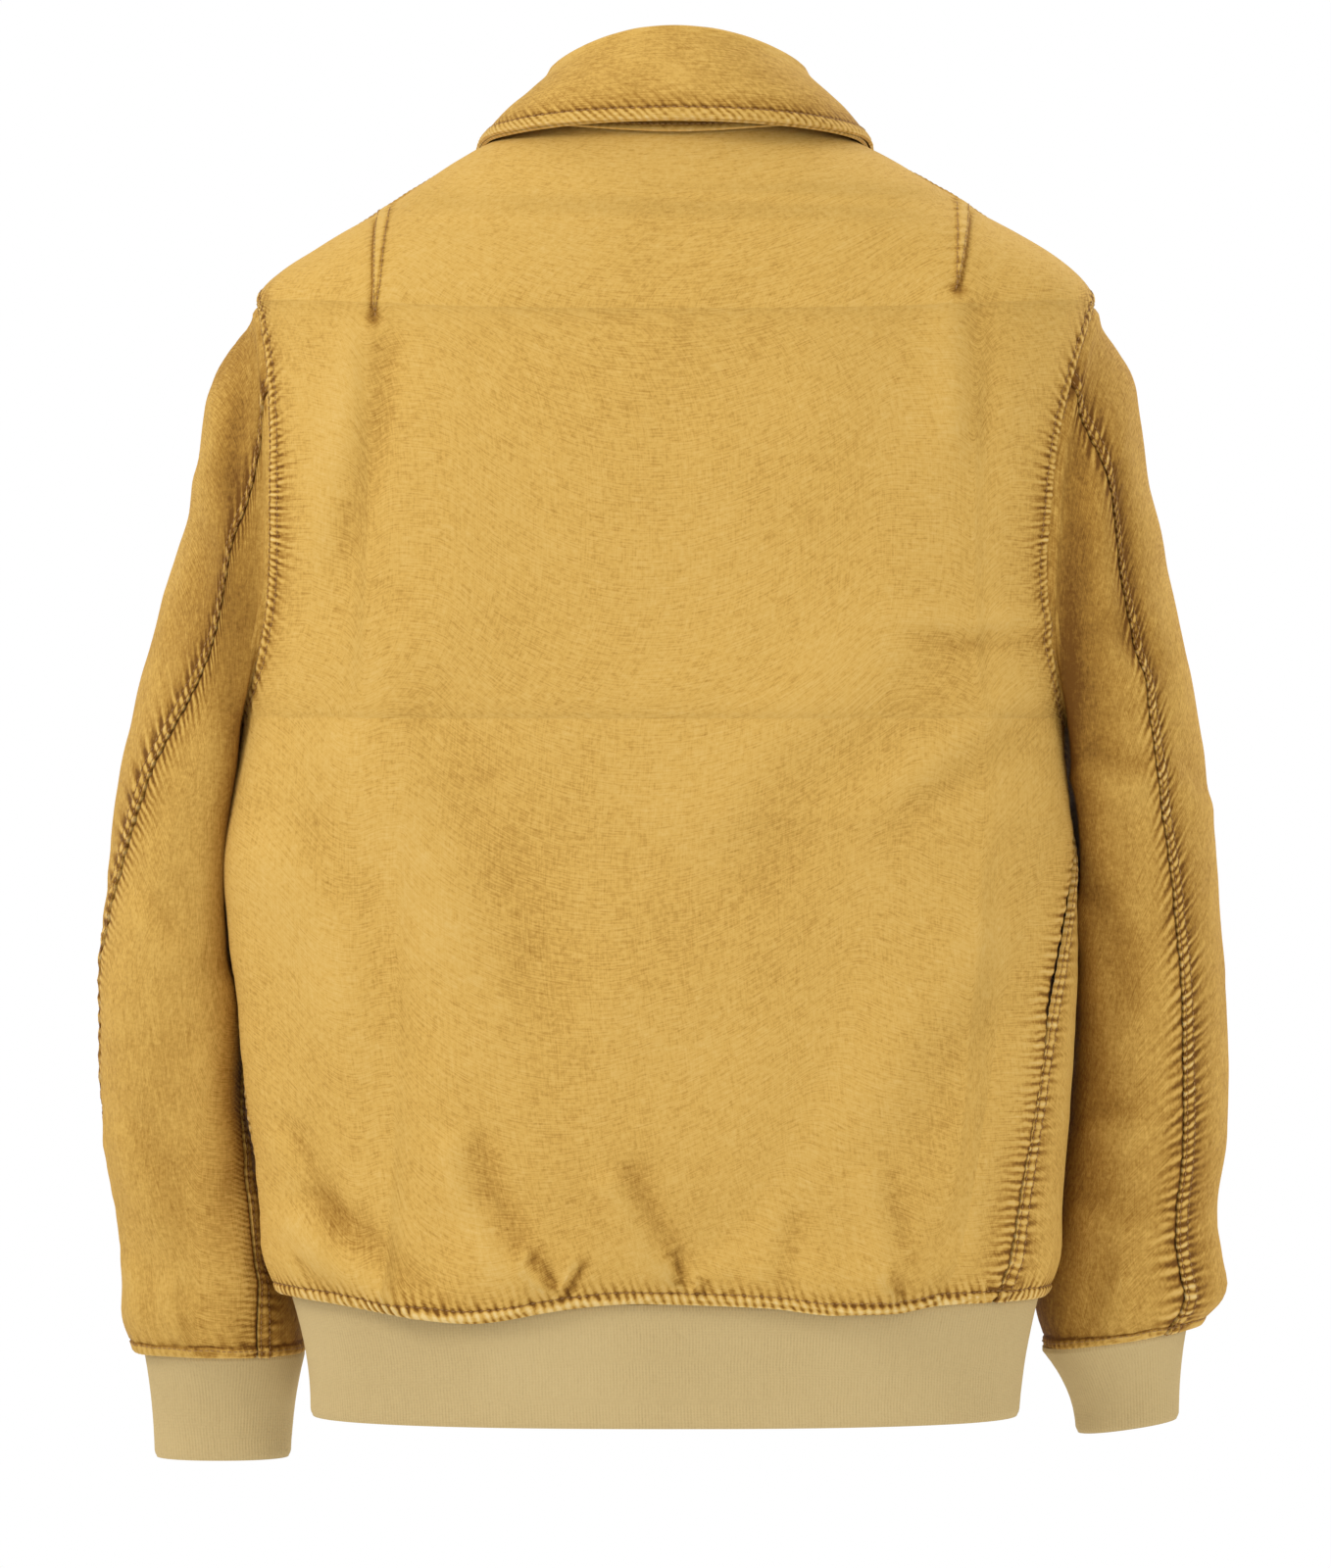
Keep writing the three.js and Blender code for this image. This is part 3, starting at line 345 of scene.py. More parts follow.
def rows_of_turns(path, starts, ends, trims, from_start, from_end, middle, density=None):
    """For each row, the turns at which a path has gone the distances that the columns stand at.

    density, where given, says how close together the middle columns stand at each x.
    """
    shares = np.linspace(0, 1, PATH_STEPS + 1)
    fine = starts[:, None] + (ends - starts)[:, None] * shares
    points = path(fine)
    steps = np.linalg.norm(np.diff(points, axis=1), axis=2)
    along = np.concatenate([np.zeros((len(points), 1)), np.cumsum(steps, axis=1)], axis=1)
    turns = []
    for row, lengths, line in zip(fine, along, points):
        length = lengths[-1] - sum(trims)
        at = trims[0] + spread_columns(length, from_start, from_end, middle)
        if density:
            first, last = len(from_start) - 1, len(at) - len(from_end)
            fine_at = np.linspace(at[first], at[last], 4 * PATH_STEPS)
            share = np.cumsum(density(np.interp(fine_at, lengths, line[:, 0])))
            even = np.linspace(share[0], share[-1], last - first + 1)
            at[first : last + 1] = np.interp(even, share, fine_at)
        turns.append(np.interp(at, lengths, row))
    return np.array(turns)


def torso_cloth(
    limits, depths, middle, trims=(0.5, 0.5), from_start=FROM_SEAM, from_end=FROM_SEAM, density=None
):
    """A piece of the torso's surface between two limits, as cloth."""
    starts, ends = (np.broadcast_to(edge, depths.shape) for edge in limits(depths))
    column = depths[:, None]
    r = {key: value[:, None] for key, value in ring(depths).items()}

    def path(angle):
        return ring_point(r, angle)

    turns = rows_of_turns(path, starts, ends, trims, from_start, from_end, middle, density)
    cloth = Cloth(torso(column, turns), torso_normal(column, turns))
    cloth.depth, cloth.turn = np.broadcast_to(column, turns.shape), turns
    return cloth


def body_depths(top=TOP, bottom=BOTTOM, pitch=2.15):
    """Depths of the panels' rows, closer at the shoulder tip, the underarm and the hem."""
    tips = np.array([0.002, 0.006, 0.012, 0.02, 0.03, 0.045])
    tips = np.concatenate([tips, 1 - tips]) * ARMHOLE_DEPTH + SHOULDER_DROP
    hem = bottom - FROM_SEAM
    even = np.arange(top, bottom - FROM_SEAM[-1] - 1, pitch)
    rows = np.unique(np.round(np.concatenate([even, [SHOULDER_DROP, UNDERARM], tips, hem, [top, bottom]]), 3))
    keep = np.concatenate([[True], np.diff(rows) > 0.25])
    rows = rows[keep & (rows >= top)]
    rows[-1] = bottom
    return rows


# ------------------------------------------------------------------ relief of seams and folds
def felled_seam(off, along, seed, pucker=1.0):
    """Relief, and painted light and shade, of the side of a felled seam that carries its two rows of
    stitching.
    """
    band = smooth((BAND + 0.7 - off) / 1.4)
    lines = bell(off - FROM_SEAM[NEAR_LINE], 0.9) + bell(off - FROM_SEAM[FAR_LINE], 0.9)
    ladder = rungs(along, 6.4, seed)
    strokes = rungs(along, 7.6, seed + 7)
    beyond = np.exp(-np.maximum(off - BAND, 0) / 6.5) * (1 - band)
    wide = np.exp(-np.maximum(off - BAND, 0) / 15) * (1 - band)
    swell = rungs(along, 15, seed + 3) * wide
    relief = 1.1 * band - 0.6 * lines
    relief += pucker * (0.5 * ladder * band + 0.6 * strokes * beyond + 0.6 * swell)
    tone = 0.3 + 0.7 * pucker
    # Painted light and shade: lighter on the crests of the puckers and along the folded edge, darker in their
    # hollows, in the sunken stitch lines and near the seam.
    painted_light_and_tone = band * (0.04 + 0.66 * ladder * tone) - 0.62 * lines + tone * beyond * (0.8 * strokes - 0.42)
    edge = bell(off, 1.0)
    return relief - 0.5 * edge, painted_light_and_tone + 0.2 * edge - 0.14 * tone * np.exp(-off / 14)


def plain_edge(off, along, seed, pucker=1.0):
    """Relief, and painted light and shade, of the other side of a seam, which only puckers."""
    strokes = rungs(along, 7.6, seed + 7)
    near, wide = np.exp(-off / 7), np.exp(-off / 15)
    relief = pucker * (0.5 * strokes * near + 0.5 * rungs(along, 15, seed + 3) * wide) - 0.7 * bell(off, 1.0)
    # Painted light and shade: lighter on the crests of the puckers, darker in their hollows and near the
    # seam, with a painted shadow line at its edge.
    return relief, pucker * (0.75 * strokes * near - 0.42 * near) - 0.6 * bell(off, 1.0)


def turned_hem(off, along, seed, pucker=1.0):
    """Relief, and painted light and shade, of an edge that is turned up and stitched once."""
    band = smooth((FROM_SEAM[FAR_LINE] + 0.6 - off) / 1.2)
    line = bell(off - FROM_SEAM[FAR_LINE], 0.8)
    ladder = rungs(along, 4.6, seed)
    above = np.exp(-np.maximum(off - 7, 0) / 5) * (1 - band)
    waves = rungs(along, 9, seed + 5)
    relief = 0.7 * band - 0.7 * line + pucker * (0.55 * ladder * band + 0.5 * waves * above)
    # Painted light and shade: lighter on the crests of the puckers, with a painted highlight on the turned
    # edge, darker in their hollows and the sunken stitch line.
    painted_light_and_tone = band * (0.1 + 0.7 * ladder * pucker) - 0.7 * line + pucker * above * (0.5 * waves - 0.26)
    return relief - 0.9 * bell(off, 1.0), painted_light_and_tone + 0.3 * bell(off, 1.2)


def polyline_offsets(x, z, points):
    """Signed distance from a line across the cloth, and the share of its length, for each point."""
    best = np.full(x.shape, 1e9)
    signed, share = np.zeros(x.shape), np.zeros(x.shape)
    points = np.asarray(points, float)
    lengths = np.linalg.norm(np.diff(points, axis=0), axis=1)
    total, gone = lengths.sum(), 0.0
    for a, b, length in zip(points[:-1], points[1:], lengths):
        d = (b - a) / length
        t = np.clip((x - a[0]) * d[0] + (z - a[1]) * d[1], 0, length)
        dx, dz = x - a[0] - t * d[0], z - a[1] - t * d[1]
        off = np.hypot(dx, dz)
        closer = off < best
        best = np.where(closer, off, best)
        signed = np.where(closer, off * np.sign(dx * d[1] - dz * d[0]), signed)
        share = np.where(closer, (gone + t) / total, share)
        gone += length
    return signed, share


def fold(x, z, points, height, width, shade=0.0, fade=(0.15, 0.35)):
    """A soft fold along a line: a ridge with a valley on its left side as the line runs. Its colour is
    painted lighter on the ridge and darker in the valley, as light and shade.
    """
    off, share = polyline_offsets(x, z, points)
    ends = smooth(share / max(fade[0], 1e-3)) * smooth((1 - share) / max(fade[1], 1e-3))
    ridge = bell(off - 0.35 * width, width)
    valley = bell(off + 0.75 * width, 0.8 * width)
    return ends * height * (ridge - 0.8 * valley), ends * shade * (0.36 * ridge - 0.62 * valley)


# ------------------------------------------------------------------ meshes
def keep(ob):
    bpy.context.scene.collection.objects.link(ob)
    return ob


def mesh_from_grid(name, outer, inner, closed, across, down, tones, weight=None):
    """A closed wall between an outer and an inner grid, with the cloth's own UV map, its random tone and its
    painted light and shade.
    """
    nv, nu = outer.shape[:2]
    points = np.concatenate([outer.reshape(-1, 3), inner.reshape(-1, 3)]) * MM
    grid = np.arange(nv * nu).reshape(nv, nu)
    under = grid + nv * nu
    if closed:
        right, right_under = np.roll(grid, -1, axis=1), np.roll(under, -1, axis=1)
        here, here_under = grid, under
    else:
        here, right, here_under, right_under = grid[:, :-1], grid[:, 1:], under[:, :-1], under[:, 1:]

    def quads(*corners):
        return np.stack([c.ravel() for c in corners], axis=1)

    faces = [
        quads(here[:-1], here[1:], right[1:], right[:-1]),
        quads(here_under[:-1], right_under[:-1], right_under[1:], here_under[1:]),
        quads(here[0], right[0], right_under[0], here_under[0]),
        quads(here[-1], here_under[-1], right_under[-1], right[-1]),
    ]
    if not closed:
        faces.append(quads(grid[:-1, 0], under[:-1, 0], under[1:, 0], grid[1:, 0]))
        faces.append(quads(grid[:-1, -1], grid[1:, -1], under[1:, -1], under[:-1, -1]))
    faces = np.concatenate(faces)
    mesh = bpy.data.meshes.new(name)
    mesh.vertices.add(len(points))
    mesh.vertices.foreach_set("co", points.astype(np.float32).ravel())
    mesh.loops.add(faces.size)
    mesh.loops.foreach_set("vertex_index", faces.astype(np.int32).ravel())
    mesh.polygons.add(len(faces))
    mesh.polygons.foreach_set("loop_start", np.arange(0, faces.size, 4, dtype=np.int32))
    mesh.update(calc_edges=True)
    uv = np.stack([across, down], axis=-1).reshape(-1, 2) * MM
    uv = np.concatenate([uv, uv])[faces.ravel()]
    mesh.uv_layers.new(name="cloth").data.foreach_set("uv", uv.astype(np.float32).ravel())
    for label, values in tones.items():
        tone = mesh.attributes.new(label, "FLOAT", "POINT")
        tone.data.foreach_set("value", np.tile(values.ravel(), 2).astype(np.float32))
    mesh.polygons.foreach_set("use_smooth", np.ones(len(faces), bool))
    mesh.set_sharp_from_angle(angle=math.radians(55))
    ob = keep(bpy.data.objects.new(name, mesh))
    if weight is not None:
        held = mesh.attributes.new("sleeve_share", "FLOAT", "POINT")
        held.data.foreach_set("value", np.tile(weight.ravel(), 2).astype(np.float32))
    return ob


def wall(name, cloth, thickness, lift=0.0, clear=None):
    """A piece of cloth as a closed wall. Its relief is on both faces, so it keeps its thickness."""
    outer = cloth.face(lift)
    inner = cloth.face(lift - thickness) if clear is None else cloth.points + cloth.normals * (lift - clear)
    tones = {"painted_light_and_tone": cloth.painted_light_and_tone, "rung": cloth.rung, "along": cloth.along * MM}
    return mesh_from_grid(name, outer, inner, cloth.closed, cloth.across, cloth.down, tones, cloth.weight)


def dress(ob, material, *nodes, slot=None, body=None):
    """Gives a piece its material and its body, and hides the CAD nodes that it stands for. Its slot is not
    used.
    """
    ob.data.materials.clear()
    ob.data.materials.append(material)
    if body:
        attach(ob, body)
    if nodes:
        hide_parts(*nodes)
    return ob


def hang_between(ob, side):
    """Bakes a sleeve piece's placement into its mesh and removes its sleeve_share attribute, each point's
    share of the sleeve's motion, which grows along the sleeve's curve from the whole round of the armhole.
    """
    mirror = Vector((1 if side == "right" else -1, 1, 1))
    share = np.zeros(len(ob.data.vertices), np.float32)
    ob.data.attributes["sleeve_share"].data.foreach_get("value", share)
    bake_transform(ob)
    ob.data.attributes.remove(ob.data.attributes["sleeve_share"])
    return ob


def evaluated_copy(ob, name):
    """The plain mesh of an object with its modifiers applied. The object itself is removed."""
    graph = bpy.context.evaluated_depsgraph_get()
    mesh = bpy.data.meshes.new_from_object(ob.evaluated_get(graph))
    bpy.data.objects.remove(ob)
    mesh.name = name
    return keep(bpy.data.objects.new(name, mesh))


def bevelled_copy(node, width):
    """A CAD node's shape with its edges rounded, as a new piece."""
    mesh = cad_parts[node].data.copy()
    ob = keep(bpy.data.objects.new(node + "_rounded", mesh))
    weld = ob.modifiers.new("weld", "WELD")
    weld.merge_threshold = 1e-6
    bevel = ob.modifiers.new("bevel", "BEVEL")
    bevel.width, bevel.segments, bevel.limit_method = width * MM, 2, "ANGLE"
    bevel.angle_limit = math.radians(35)
    bevel.harden_normals = False
    piece = evaluated_copy(ob, node + "_metal")
    piece.data.set_sharp_from_angle(angle=math.radians(40))
    return piece


# ------------------------------------------------------------------ repeated shapes along lines
class NodeTree:
    """Adds nodes to a tree: settings first, then the values or links of the sockets.

    A socket is given by its name, with _ for a space, or as i and its number.
    """

    def __init__(self, tree):
        self.tree = tree

    def node(self, kind, settings=None, out=0, **sockets):
        made = self.tree.nodes.new(kind)
        for key, value in (settings or {}).items():
            setattr(made, key, value)
        for key, value in sockets.items():
            by_number = key[0] == "i" and key[1:].isdigit()
            socket = made.inputs[int(key[1:]) if by_number else key.replace("_", " ")]
            if isinstance(value, Socket):
                self.tree.links.new(value.socket, socket)
            else:
                socket.default_value = value
        return Socket(self, made.outputs[out])


class Socket:
    """A node's output. Sums, products and powers of it become Math nodes."""

    def __init__(self, nodes, socket):
        self.nodes, self.socket = nodes, socket

    def maths(self, operation, a, b):
        return self.nodes.node("ShaderNodeMath", {"operation": operation}, i0=a, i1=b)

    def __add__(self, other):
        return self.maths("ADD", self, other)

    __radd__ = __add__

    def __mul__(self, other):
        return self.maths("MULTIPLY", self, other)

    __rmul__ = __mul__

    def __sub__(self, other):
        return self.maths("SUBTRACT", self, other)

    def __rsub__(self, other):
        return self.maths("SUBTRACT", other, self)

    def other(self, name):
        """Another output of the same node."""
        return Socket(self.nodes, self.socket.node.outputs[name])


def lines_object(name, lines):
    """Several lines of points in millimetres as one mesh of edges."""
    points = np.concatenate(lines) * MM
    edges, start = [], 0
    for line in lines:
        index = np.arange(start, start + len(line) - 1)
        edges.append(np.stack([index, index + 1], axis=1))
        start += len(line)
    mesh = bpy.data.meshes.new(name)
    mesh.from_pydata(points.tolist(), np.concatenate(edges).tolist(), [])
    return keep(bpy.data.objects.new(name, mesh))


def repeat_tree(name, shape, sizes):
    """A tree that sets one shape along each line at a pitch, turned to the line's direction."""
    group = bpy.data.node_groups.new(name, "GeometryNodeTree")
    face = group.interface
    face.new_socket("Geometry", in_out="INPUT", socket_type="NodeSocketGeometry")
    for label in ("Pitch", *sizes):
        face.new_socket(label, in_out="INPUT", socket_type="NodeSocketFloat")
    face.new_socket("Material", in_out="INPUT", socket_type="NodeSocketMaterial")
    face.new_socket("Geometry", in_out="OUTPUT", socket_type="NodeSocketGeometry")
    nodes = NodeTree(group)
    entry = nodes.node("NodeGroupInput")
    given = entry.other
    curve = nodes.node("GeometryNodeMeshToCurve", Mesh=given("Geometry"))
    even = nodes.node("GeometryNodeResampleCurve", {"mode": "LENGTH"}, Curve=curve, Length=given("Pitch"))
    tangent = nodes.node("GeometryNodeInputTangent")
    turn = nodes.node("FunctionNodeAlignRotationToVector", {"axis": "Z"}, Vector=tangent)
    scale = nodes.node("ShaderNodeCombineXYZ", **{axis: given(size) for axis, size in zip("XYZ", sizes)})
    placed = nodes.node(
        "GeometryNodeInstanceOnPoints", Points=even, Instance=shape(nodes), Rotation=turn, Scale=scale
    )
    real = nodes.node("GeometryNodeRealizeInstances", Geometry=placed)
    smoothed = nodes.node("GeometryNodeSetShadeSmooth", Geometry=real)
    finished = nodes.node("GeometryNodeSetMaterial", Geometry=smoothed, Material=given("Material"))
    group.links.new(finished.socket, group.nodes.new("NodeGroupOutput").inputs[0])
    return group


def thread_shape(nodes):
    return nodes.node("GeometryNodeMeshIcoSphere", Radius=1.0, Subdivisions=1)


def tooth_shape(nodes):
    return nodes.node("GeometryNodeMeshCylinder", {"fill_type": "NGON"}, Vertices=10, Radius=1.0, Depth=2.0)


def repeat_along(name, lines, tree, values, material):
    """Runs a repeating tree over lines, and returns the plain mesh that it makes."""
    ob = lines_object(name + "_lines", lines)
    ob.data.materials.append(material)
    modifier = ob.modifiers.new("repeat", "NODES")
    modifier.node_group = tree
    sockets = {s.name: s.identifier for s in tree.interface.items_tree if s.in_out == "INPUT"}
    for label, value in {**values, "Material": material}.items():
        modifier[sockets[label]] = value
    return evaluated_copy(ob, name)


seams = {"torso": [], "right_sleeve": [], "left_sleeve": []}
surfaces = {}


def note_column(where, cloth, column, lift=STITCH_LIFT):
    """Keeps a column of a cloth as a line to be stitched."""
    seams[where].append(cloth.face(lift)[:, column])


def note_row(where, cloth, row, lift=STITCH_LIFT):
    seams[where].append(cloth.face(lift)[row])


def lay_on(cloth, base, normals, lift=STITCH_LIFT):
    """Raises points of the plain surface by the relief of the cloth that lies there."""
    tree = kdtree.KDTree(cloth.relief.size)
    for i, point in enumerate(cloth.points.reshape(-1, 3)):
        tree.insert(point, i)
    tree.balance()
    heights = np.array([cloth.relief.ravel()[tree.find(p)[1]] for p in base])
    return base + normals * (heights + lift)[:, None]


# ------------------------------------------------------------------ finishes
def start_material(name):
    material = bpy.data.materials.new(name)
    material.use_nodes = True
    material.node_tree.nodes.clear()
    return material, NodeTree(material.node_tree)


def finish_material(nodes, colour, roughness, bump=None, metallic=0.0, **constants):
    sockets = {"Base_Color": colour, "Roughness": roughness, "Metallic": metallic}
    if bump:
        height, distance, strength = bump
        sockets["Normal"] = nodes.node("ShaderNodeBump", Height=height, Distance=distance, Strength=strength)
    shader = nodes.node("ShaderNodeBsdfPrincipled", **sockets, **constants)
    out = nodes.tree.nodes.new("ShaderNodeOutputMaterial")
    nodes.tree.links.new(shader.socket, out.inputs["Surface"])


def ramp(nodes, factor, stops):
    """A colour ramp: stops are (place, colour)."""
    result = nodes.node("ShaderNodeValToRGB", Fac=factor)
    elements = result.socket.node.color_ramp.elements
    for element, (place, colour) in zip(elements, (stops[0], stops[-1])):
        element.position, element.color = place, (*colour, 1)
    for place, colour in stops[1:-1]:
        elements.new(place).color = (*colour, 1)
    return result


def noise(nodes, coordinates, scale, detail=2.0, roughness=0.5, stretch=(1, 1, 1)):
    placed = nodes.node("ShaderNodeMapping", Vector=coordinates, Scale=stretch)
    return nodes.node("ShaderNodeTexNoise", Vector=placed, Scale=scale, Detail=detail, Roughness=roughness)


def bands(nodes, uv, direction, spacing, distortion=0.0):
    """Waves across a cloth's own coordinates, running one way."""
    settings = {"bands_direction": direction}
    wave = nodes.node("ShaderNodeTexWave", settings, Vector=uv, Scale=1 / spacing, Distortion=distortion)
    return wave.other("Fac")


def measure(nodes, name):
    """A value that the mesh carries at each of its points."""
    return nodes.node("ShaderNodeAttribute", {"attribute_name": name}).other("Fac")


def cloth_coordinates(nodes):
    return nodes.node("ShaderNodeUVMap", {"uv_map": "cloth"})


def object_coordinates(nodes):
    return nodes.node("ShaderNodeTexCoord").other("Object")


def canvas_material(name, tone=0.0):
    """Washed cotton canvas: painted lighter on the crests of its puckers and folds and painted darker in
    their hollows, as light and shade, with random tone and slubs in both threads.
    """
    colours = bpy.context.scene.blouson_colours
    material, nodes = start_material(name)
    uv, place = cloth_coordinates(nodes), object_coordinates(nodes)
    cloud = noise(nodes, place, 9.0, 3.0, 0.55) - 0.5
    mottle = noise(nodes, place, 55.0, 3.0, 0.6) - 0.5
    grain = noise(nodes, place, 420.0, 2.0, 0.7) - 0.5
    slub_weft = noise(nodes, uv, 1.0, 1.0, 0.5, (90, 1300, 1)) - 0.5
    slub_warp = noise(nodes, uv, 1.0, 1.0, 0.5, (1300, 80, 1)) - 0.5
    # The mesh's attribute and the rung ripples paint light and shade: lighter on crests and ridges, darker in
    # hollows, creases, stitch lines and where the sleeves face the body.
    level = measure(nodes, "painted_light_and_tone") * 0.52 + 0.52 + tone
    phase = measure(nodes, "along") * (TAU / RUNG) + mottle * RUNG_UNEVENNESS
    level = level + measure(nodes, "rung") * phase.maths("SINE", phase, 0.0) * 0.24
    level = level + cloud * 0.1 + mottle * 0.1 + grain * 0.42 + slub_weft * 0.44 + slub_warp * 0.26
    colour = ramp(nodes, level, [
        (0.0, colours.canvas_deep),
        (0.26, colours.canvas_shade),
        (0.52, colours.canvas),
        (0.76, colours.canvas_faded_and_highlight),
        (1.0, colours.canvas_crest_highlight),
    ])
    warp, weft = (bands(nodes, uv, direction, 0.00124) for direction in "XY")
    height = warp * 0.5 + weft * 0.5 + slub_weft * 1.2 + slub_warp * 0.8 + grain
    bump = (height, 0.00022, 0.55)
    finish_material(nodes, colour, 0.86 + mottle * 0.14, bump, Specular_IOR_Level=0.12)
    return material


def knit_material(name):
    """Rib knit: its ribs are modelled, and its stitches are a fine chain down each rib."""
    colours = bpy.context.scene.blouson_colours
    material, nodes = start_material(name)
    place = object_coordinates(nodes)
    loops = bands(nodes, cloth_coordinates(nodes), "Y", 0.0026, 1.5)
    cloud = noise(nodes, place, 14.0, 3.0, 0.55) - 0.5
    fuzz = noise(nodes, place, 700.0, 2.0, 0.7) - 0.5
    level = measure(nodes, "painted_light_and_tone") * 0.4 + 0.5 + cloud * 0.16 + fuzz * 0.24 + loops * 0.08 - 0.04
    colour = ramp(nodes, level, [(0.0, colours.knit_shade), (0.5, colours.knit), (1.0, colours.knit_light)])
    finish_material(nodes, colour, 0.92, (loops * 0.6 + fuzz, 0.0002, 0.5), Specular_IOR_Level=0.15)
    return material


def lining_material(name):
    """Smooth brown twill, with its fine diagonal and a slight sheen."""
    colours = bpy.context.scene.blouson_colours
    material, nodes = start_material(name)
    uv = cloth_coordinates(nodes)
    twill = bands(nodes, uv, "DIAGONAL", 0.0022)
    cloud = noise(nodes, uv, 30.0, 3.0, 0.5) - 0.5
    level = 0.42 + twill * 0.16 + cloud * 0.3
    colour = ramp(nodes, level, [(0.0, colours.lining_shade), (1.0, colours.lining)])
    bump = (twill, 0.00012, 0.4)
    finish_material(nodes, colour, 0.55 + cloud * 0.2, bump, Sheen_Weight=0.25, Sheen_Roughness=0.4)
    return material


def thread_material(name, colour):
    material, nodes = start_material(name)
    twist = noise(nodes, object_coordinates(nodes), 900.0, 2.0, 0.6) - 0.5
    dark = [channel * 0.72 for channel in colour]
    # A colour mix keeps its two colours in its seventh and eighth sockets, and its result in its third.
    mixed = nodes.node(
        "ShaderNodeMix", {"data_type": "RGBA"}, out=2, i0=twist + 0.5, i6=(*dark, 1), i7=(*colour, 1)
    )
    finish_material(nodes, mixed, 0.7, (twist, 0.0001, 0.4))
    return material


def tape_material(name):
    """Woven zip tape, with its lengthwise ribs."""
    colours = bpy.context.scene.blouson_colours
    material, nodes = start_material(name)
    uv = cloth_coordinates(nodes)
    ribs, picks = bands(nodes, uv, "X", 0.0035), bands(nodes, uv, "Y", 0.0016)
    speck = noise(nodes, uv, 900.0) - 0.5
    level = 0.4 + ribs * 0.2 + picks * 0.12 + speck * 0.3
    colour = ramp(nodes, level, [(0.0, colours.canvas_shade), (1.0, colours.canvas_faded_and_highlight)])
    finish_material(nodes, colour, 0.85, (ribs + picks * 0.5, 0.00015, 0.5))
    return material


def metal_material(name):
    """Aged brass: bright where it is handled, brown in its corners, with fine scratches."""
    colours = bpy.context.scene.blouson_colours
    material, nodes = start_material(name)
    place = object_coordinates(nodes)
    tarnish = noise(nodes, place, 260.0, 4.0, 0.6)
    scratch = noise(nodes, place, 1.0, 2.0, 0.6, (3000, 3000, 240)) - 0.5
    wear = nodes.node("ShaderNodeNewGeometry").other("Pointiness")
    level = tarnish * 0.6 + wear * 1.2 - 0.45
    colour = ramp(nodes, level, [(0.2, colours.metal_shade), (0.75, colours.metal)])
    bump = (scratch + tarnish * 0.4, 0.00008, 0.35)
    finish_material(nodes, colour, 0.3 + tarnish * 0.25, bump, metallic=1.0)
    return material


finishes = {}


def finish(name):
    """Each finish is made once, when a piece first asks for it."""
    if name not in finishes:
        colours = bpy.context.scene.blouson_colours
        makers = {
            "canvas": lambda: canvas_material("washed_canvas"),
            # The sleeve, collar and facing copies of the canvas are painted a little darker, as shade.
            "sleeve_canvas": lambda: canvas_material("washed_canvas_sleeve", -0.06),
            "collar_canvas": lambda: canvas_material("washed_canvas_collar", -0.07),
            "facing": lambda: canvas_material("facing_canvas", -0.03),
            "knit": lambda: knit_material("rib_knit"),
            "lining": lambda: lining_material("brown_lining"),
            "thread": lambda: thread_material("brown_thread", colours.thread),
            "tape": lambda: tape_material("woven_tape"),
            "metal": lambda: metal_material("aged_brass"),
        }
        finishes[name] = makers[name]()
    return finishes[name]


# ------------------------------------------------------------------ torso panels
def armhole_offset(cloth, reach):
    """How far each point stands off the armhole's outline, and how far round it."""
    r = ring(cloth.depth)
    y = np.abs(cloth.points[..., 1] - AXIS_Y - r["side"])
    half = ARMHOLE_DEPTH / 2
    v = cloth.depth - SHOULDER_DROP - half
    size = ((np.abs(v) / half) ** ARMHOLE_POWER + (y / reach) ** ARMHOLE_POWER) ** (1 / ARMHOLE_POWER)
    slope = 1 + 0.25 * smooth(y / reach)
    off = (size - 1) * np.hypot(v, y) / np.maximum(size, 1e-6) * slope
    return np.maximum(off, 0), np.arctan2(y, v) * 105


def armhole_line(reach, off, sign, behind):
    """Half of the line round an armhole at a distance from its edge, as depths and turns."""
    theta = np.linspace(0.02, math.pi - 0.02, 150)
    half, p = ARMHOLE_DEPTH / 2, 2 / ARMHOLE_POWER
    depth = SHOULDER_DROP + half - (half + off) * power(np.cos(theta), p)
    away = (reach + off / 1.25) * np.sin(theta) ** p
    r = ring(depth)
    angle = back_angle(r, away) if behind else -front_angle(r, away)
    return depth, (math.pi - angle if sign > 0 else angle)


def hem_wave(x):
    """How far below its straight line the stitched hem hangs."""
    places = [-250, -207, -150, -108, -56, -20, 48, 84, 110, 141, 194, 250]
    return through(places, [0, -2, 4, 9, 1, -2, 0, 4, 4, 0, 0, 0])(x)


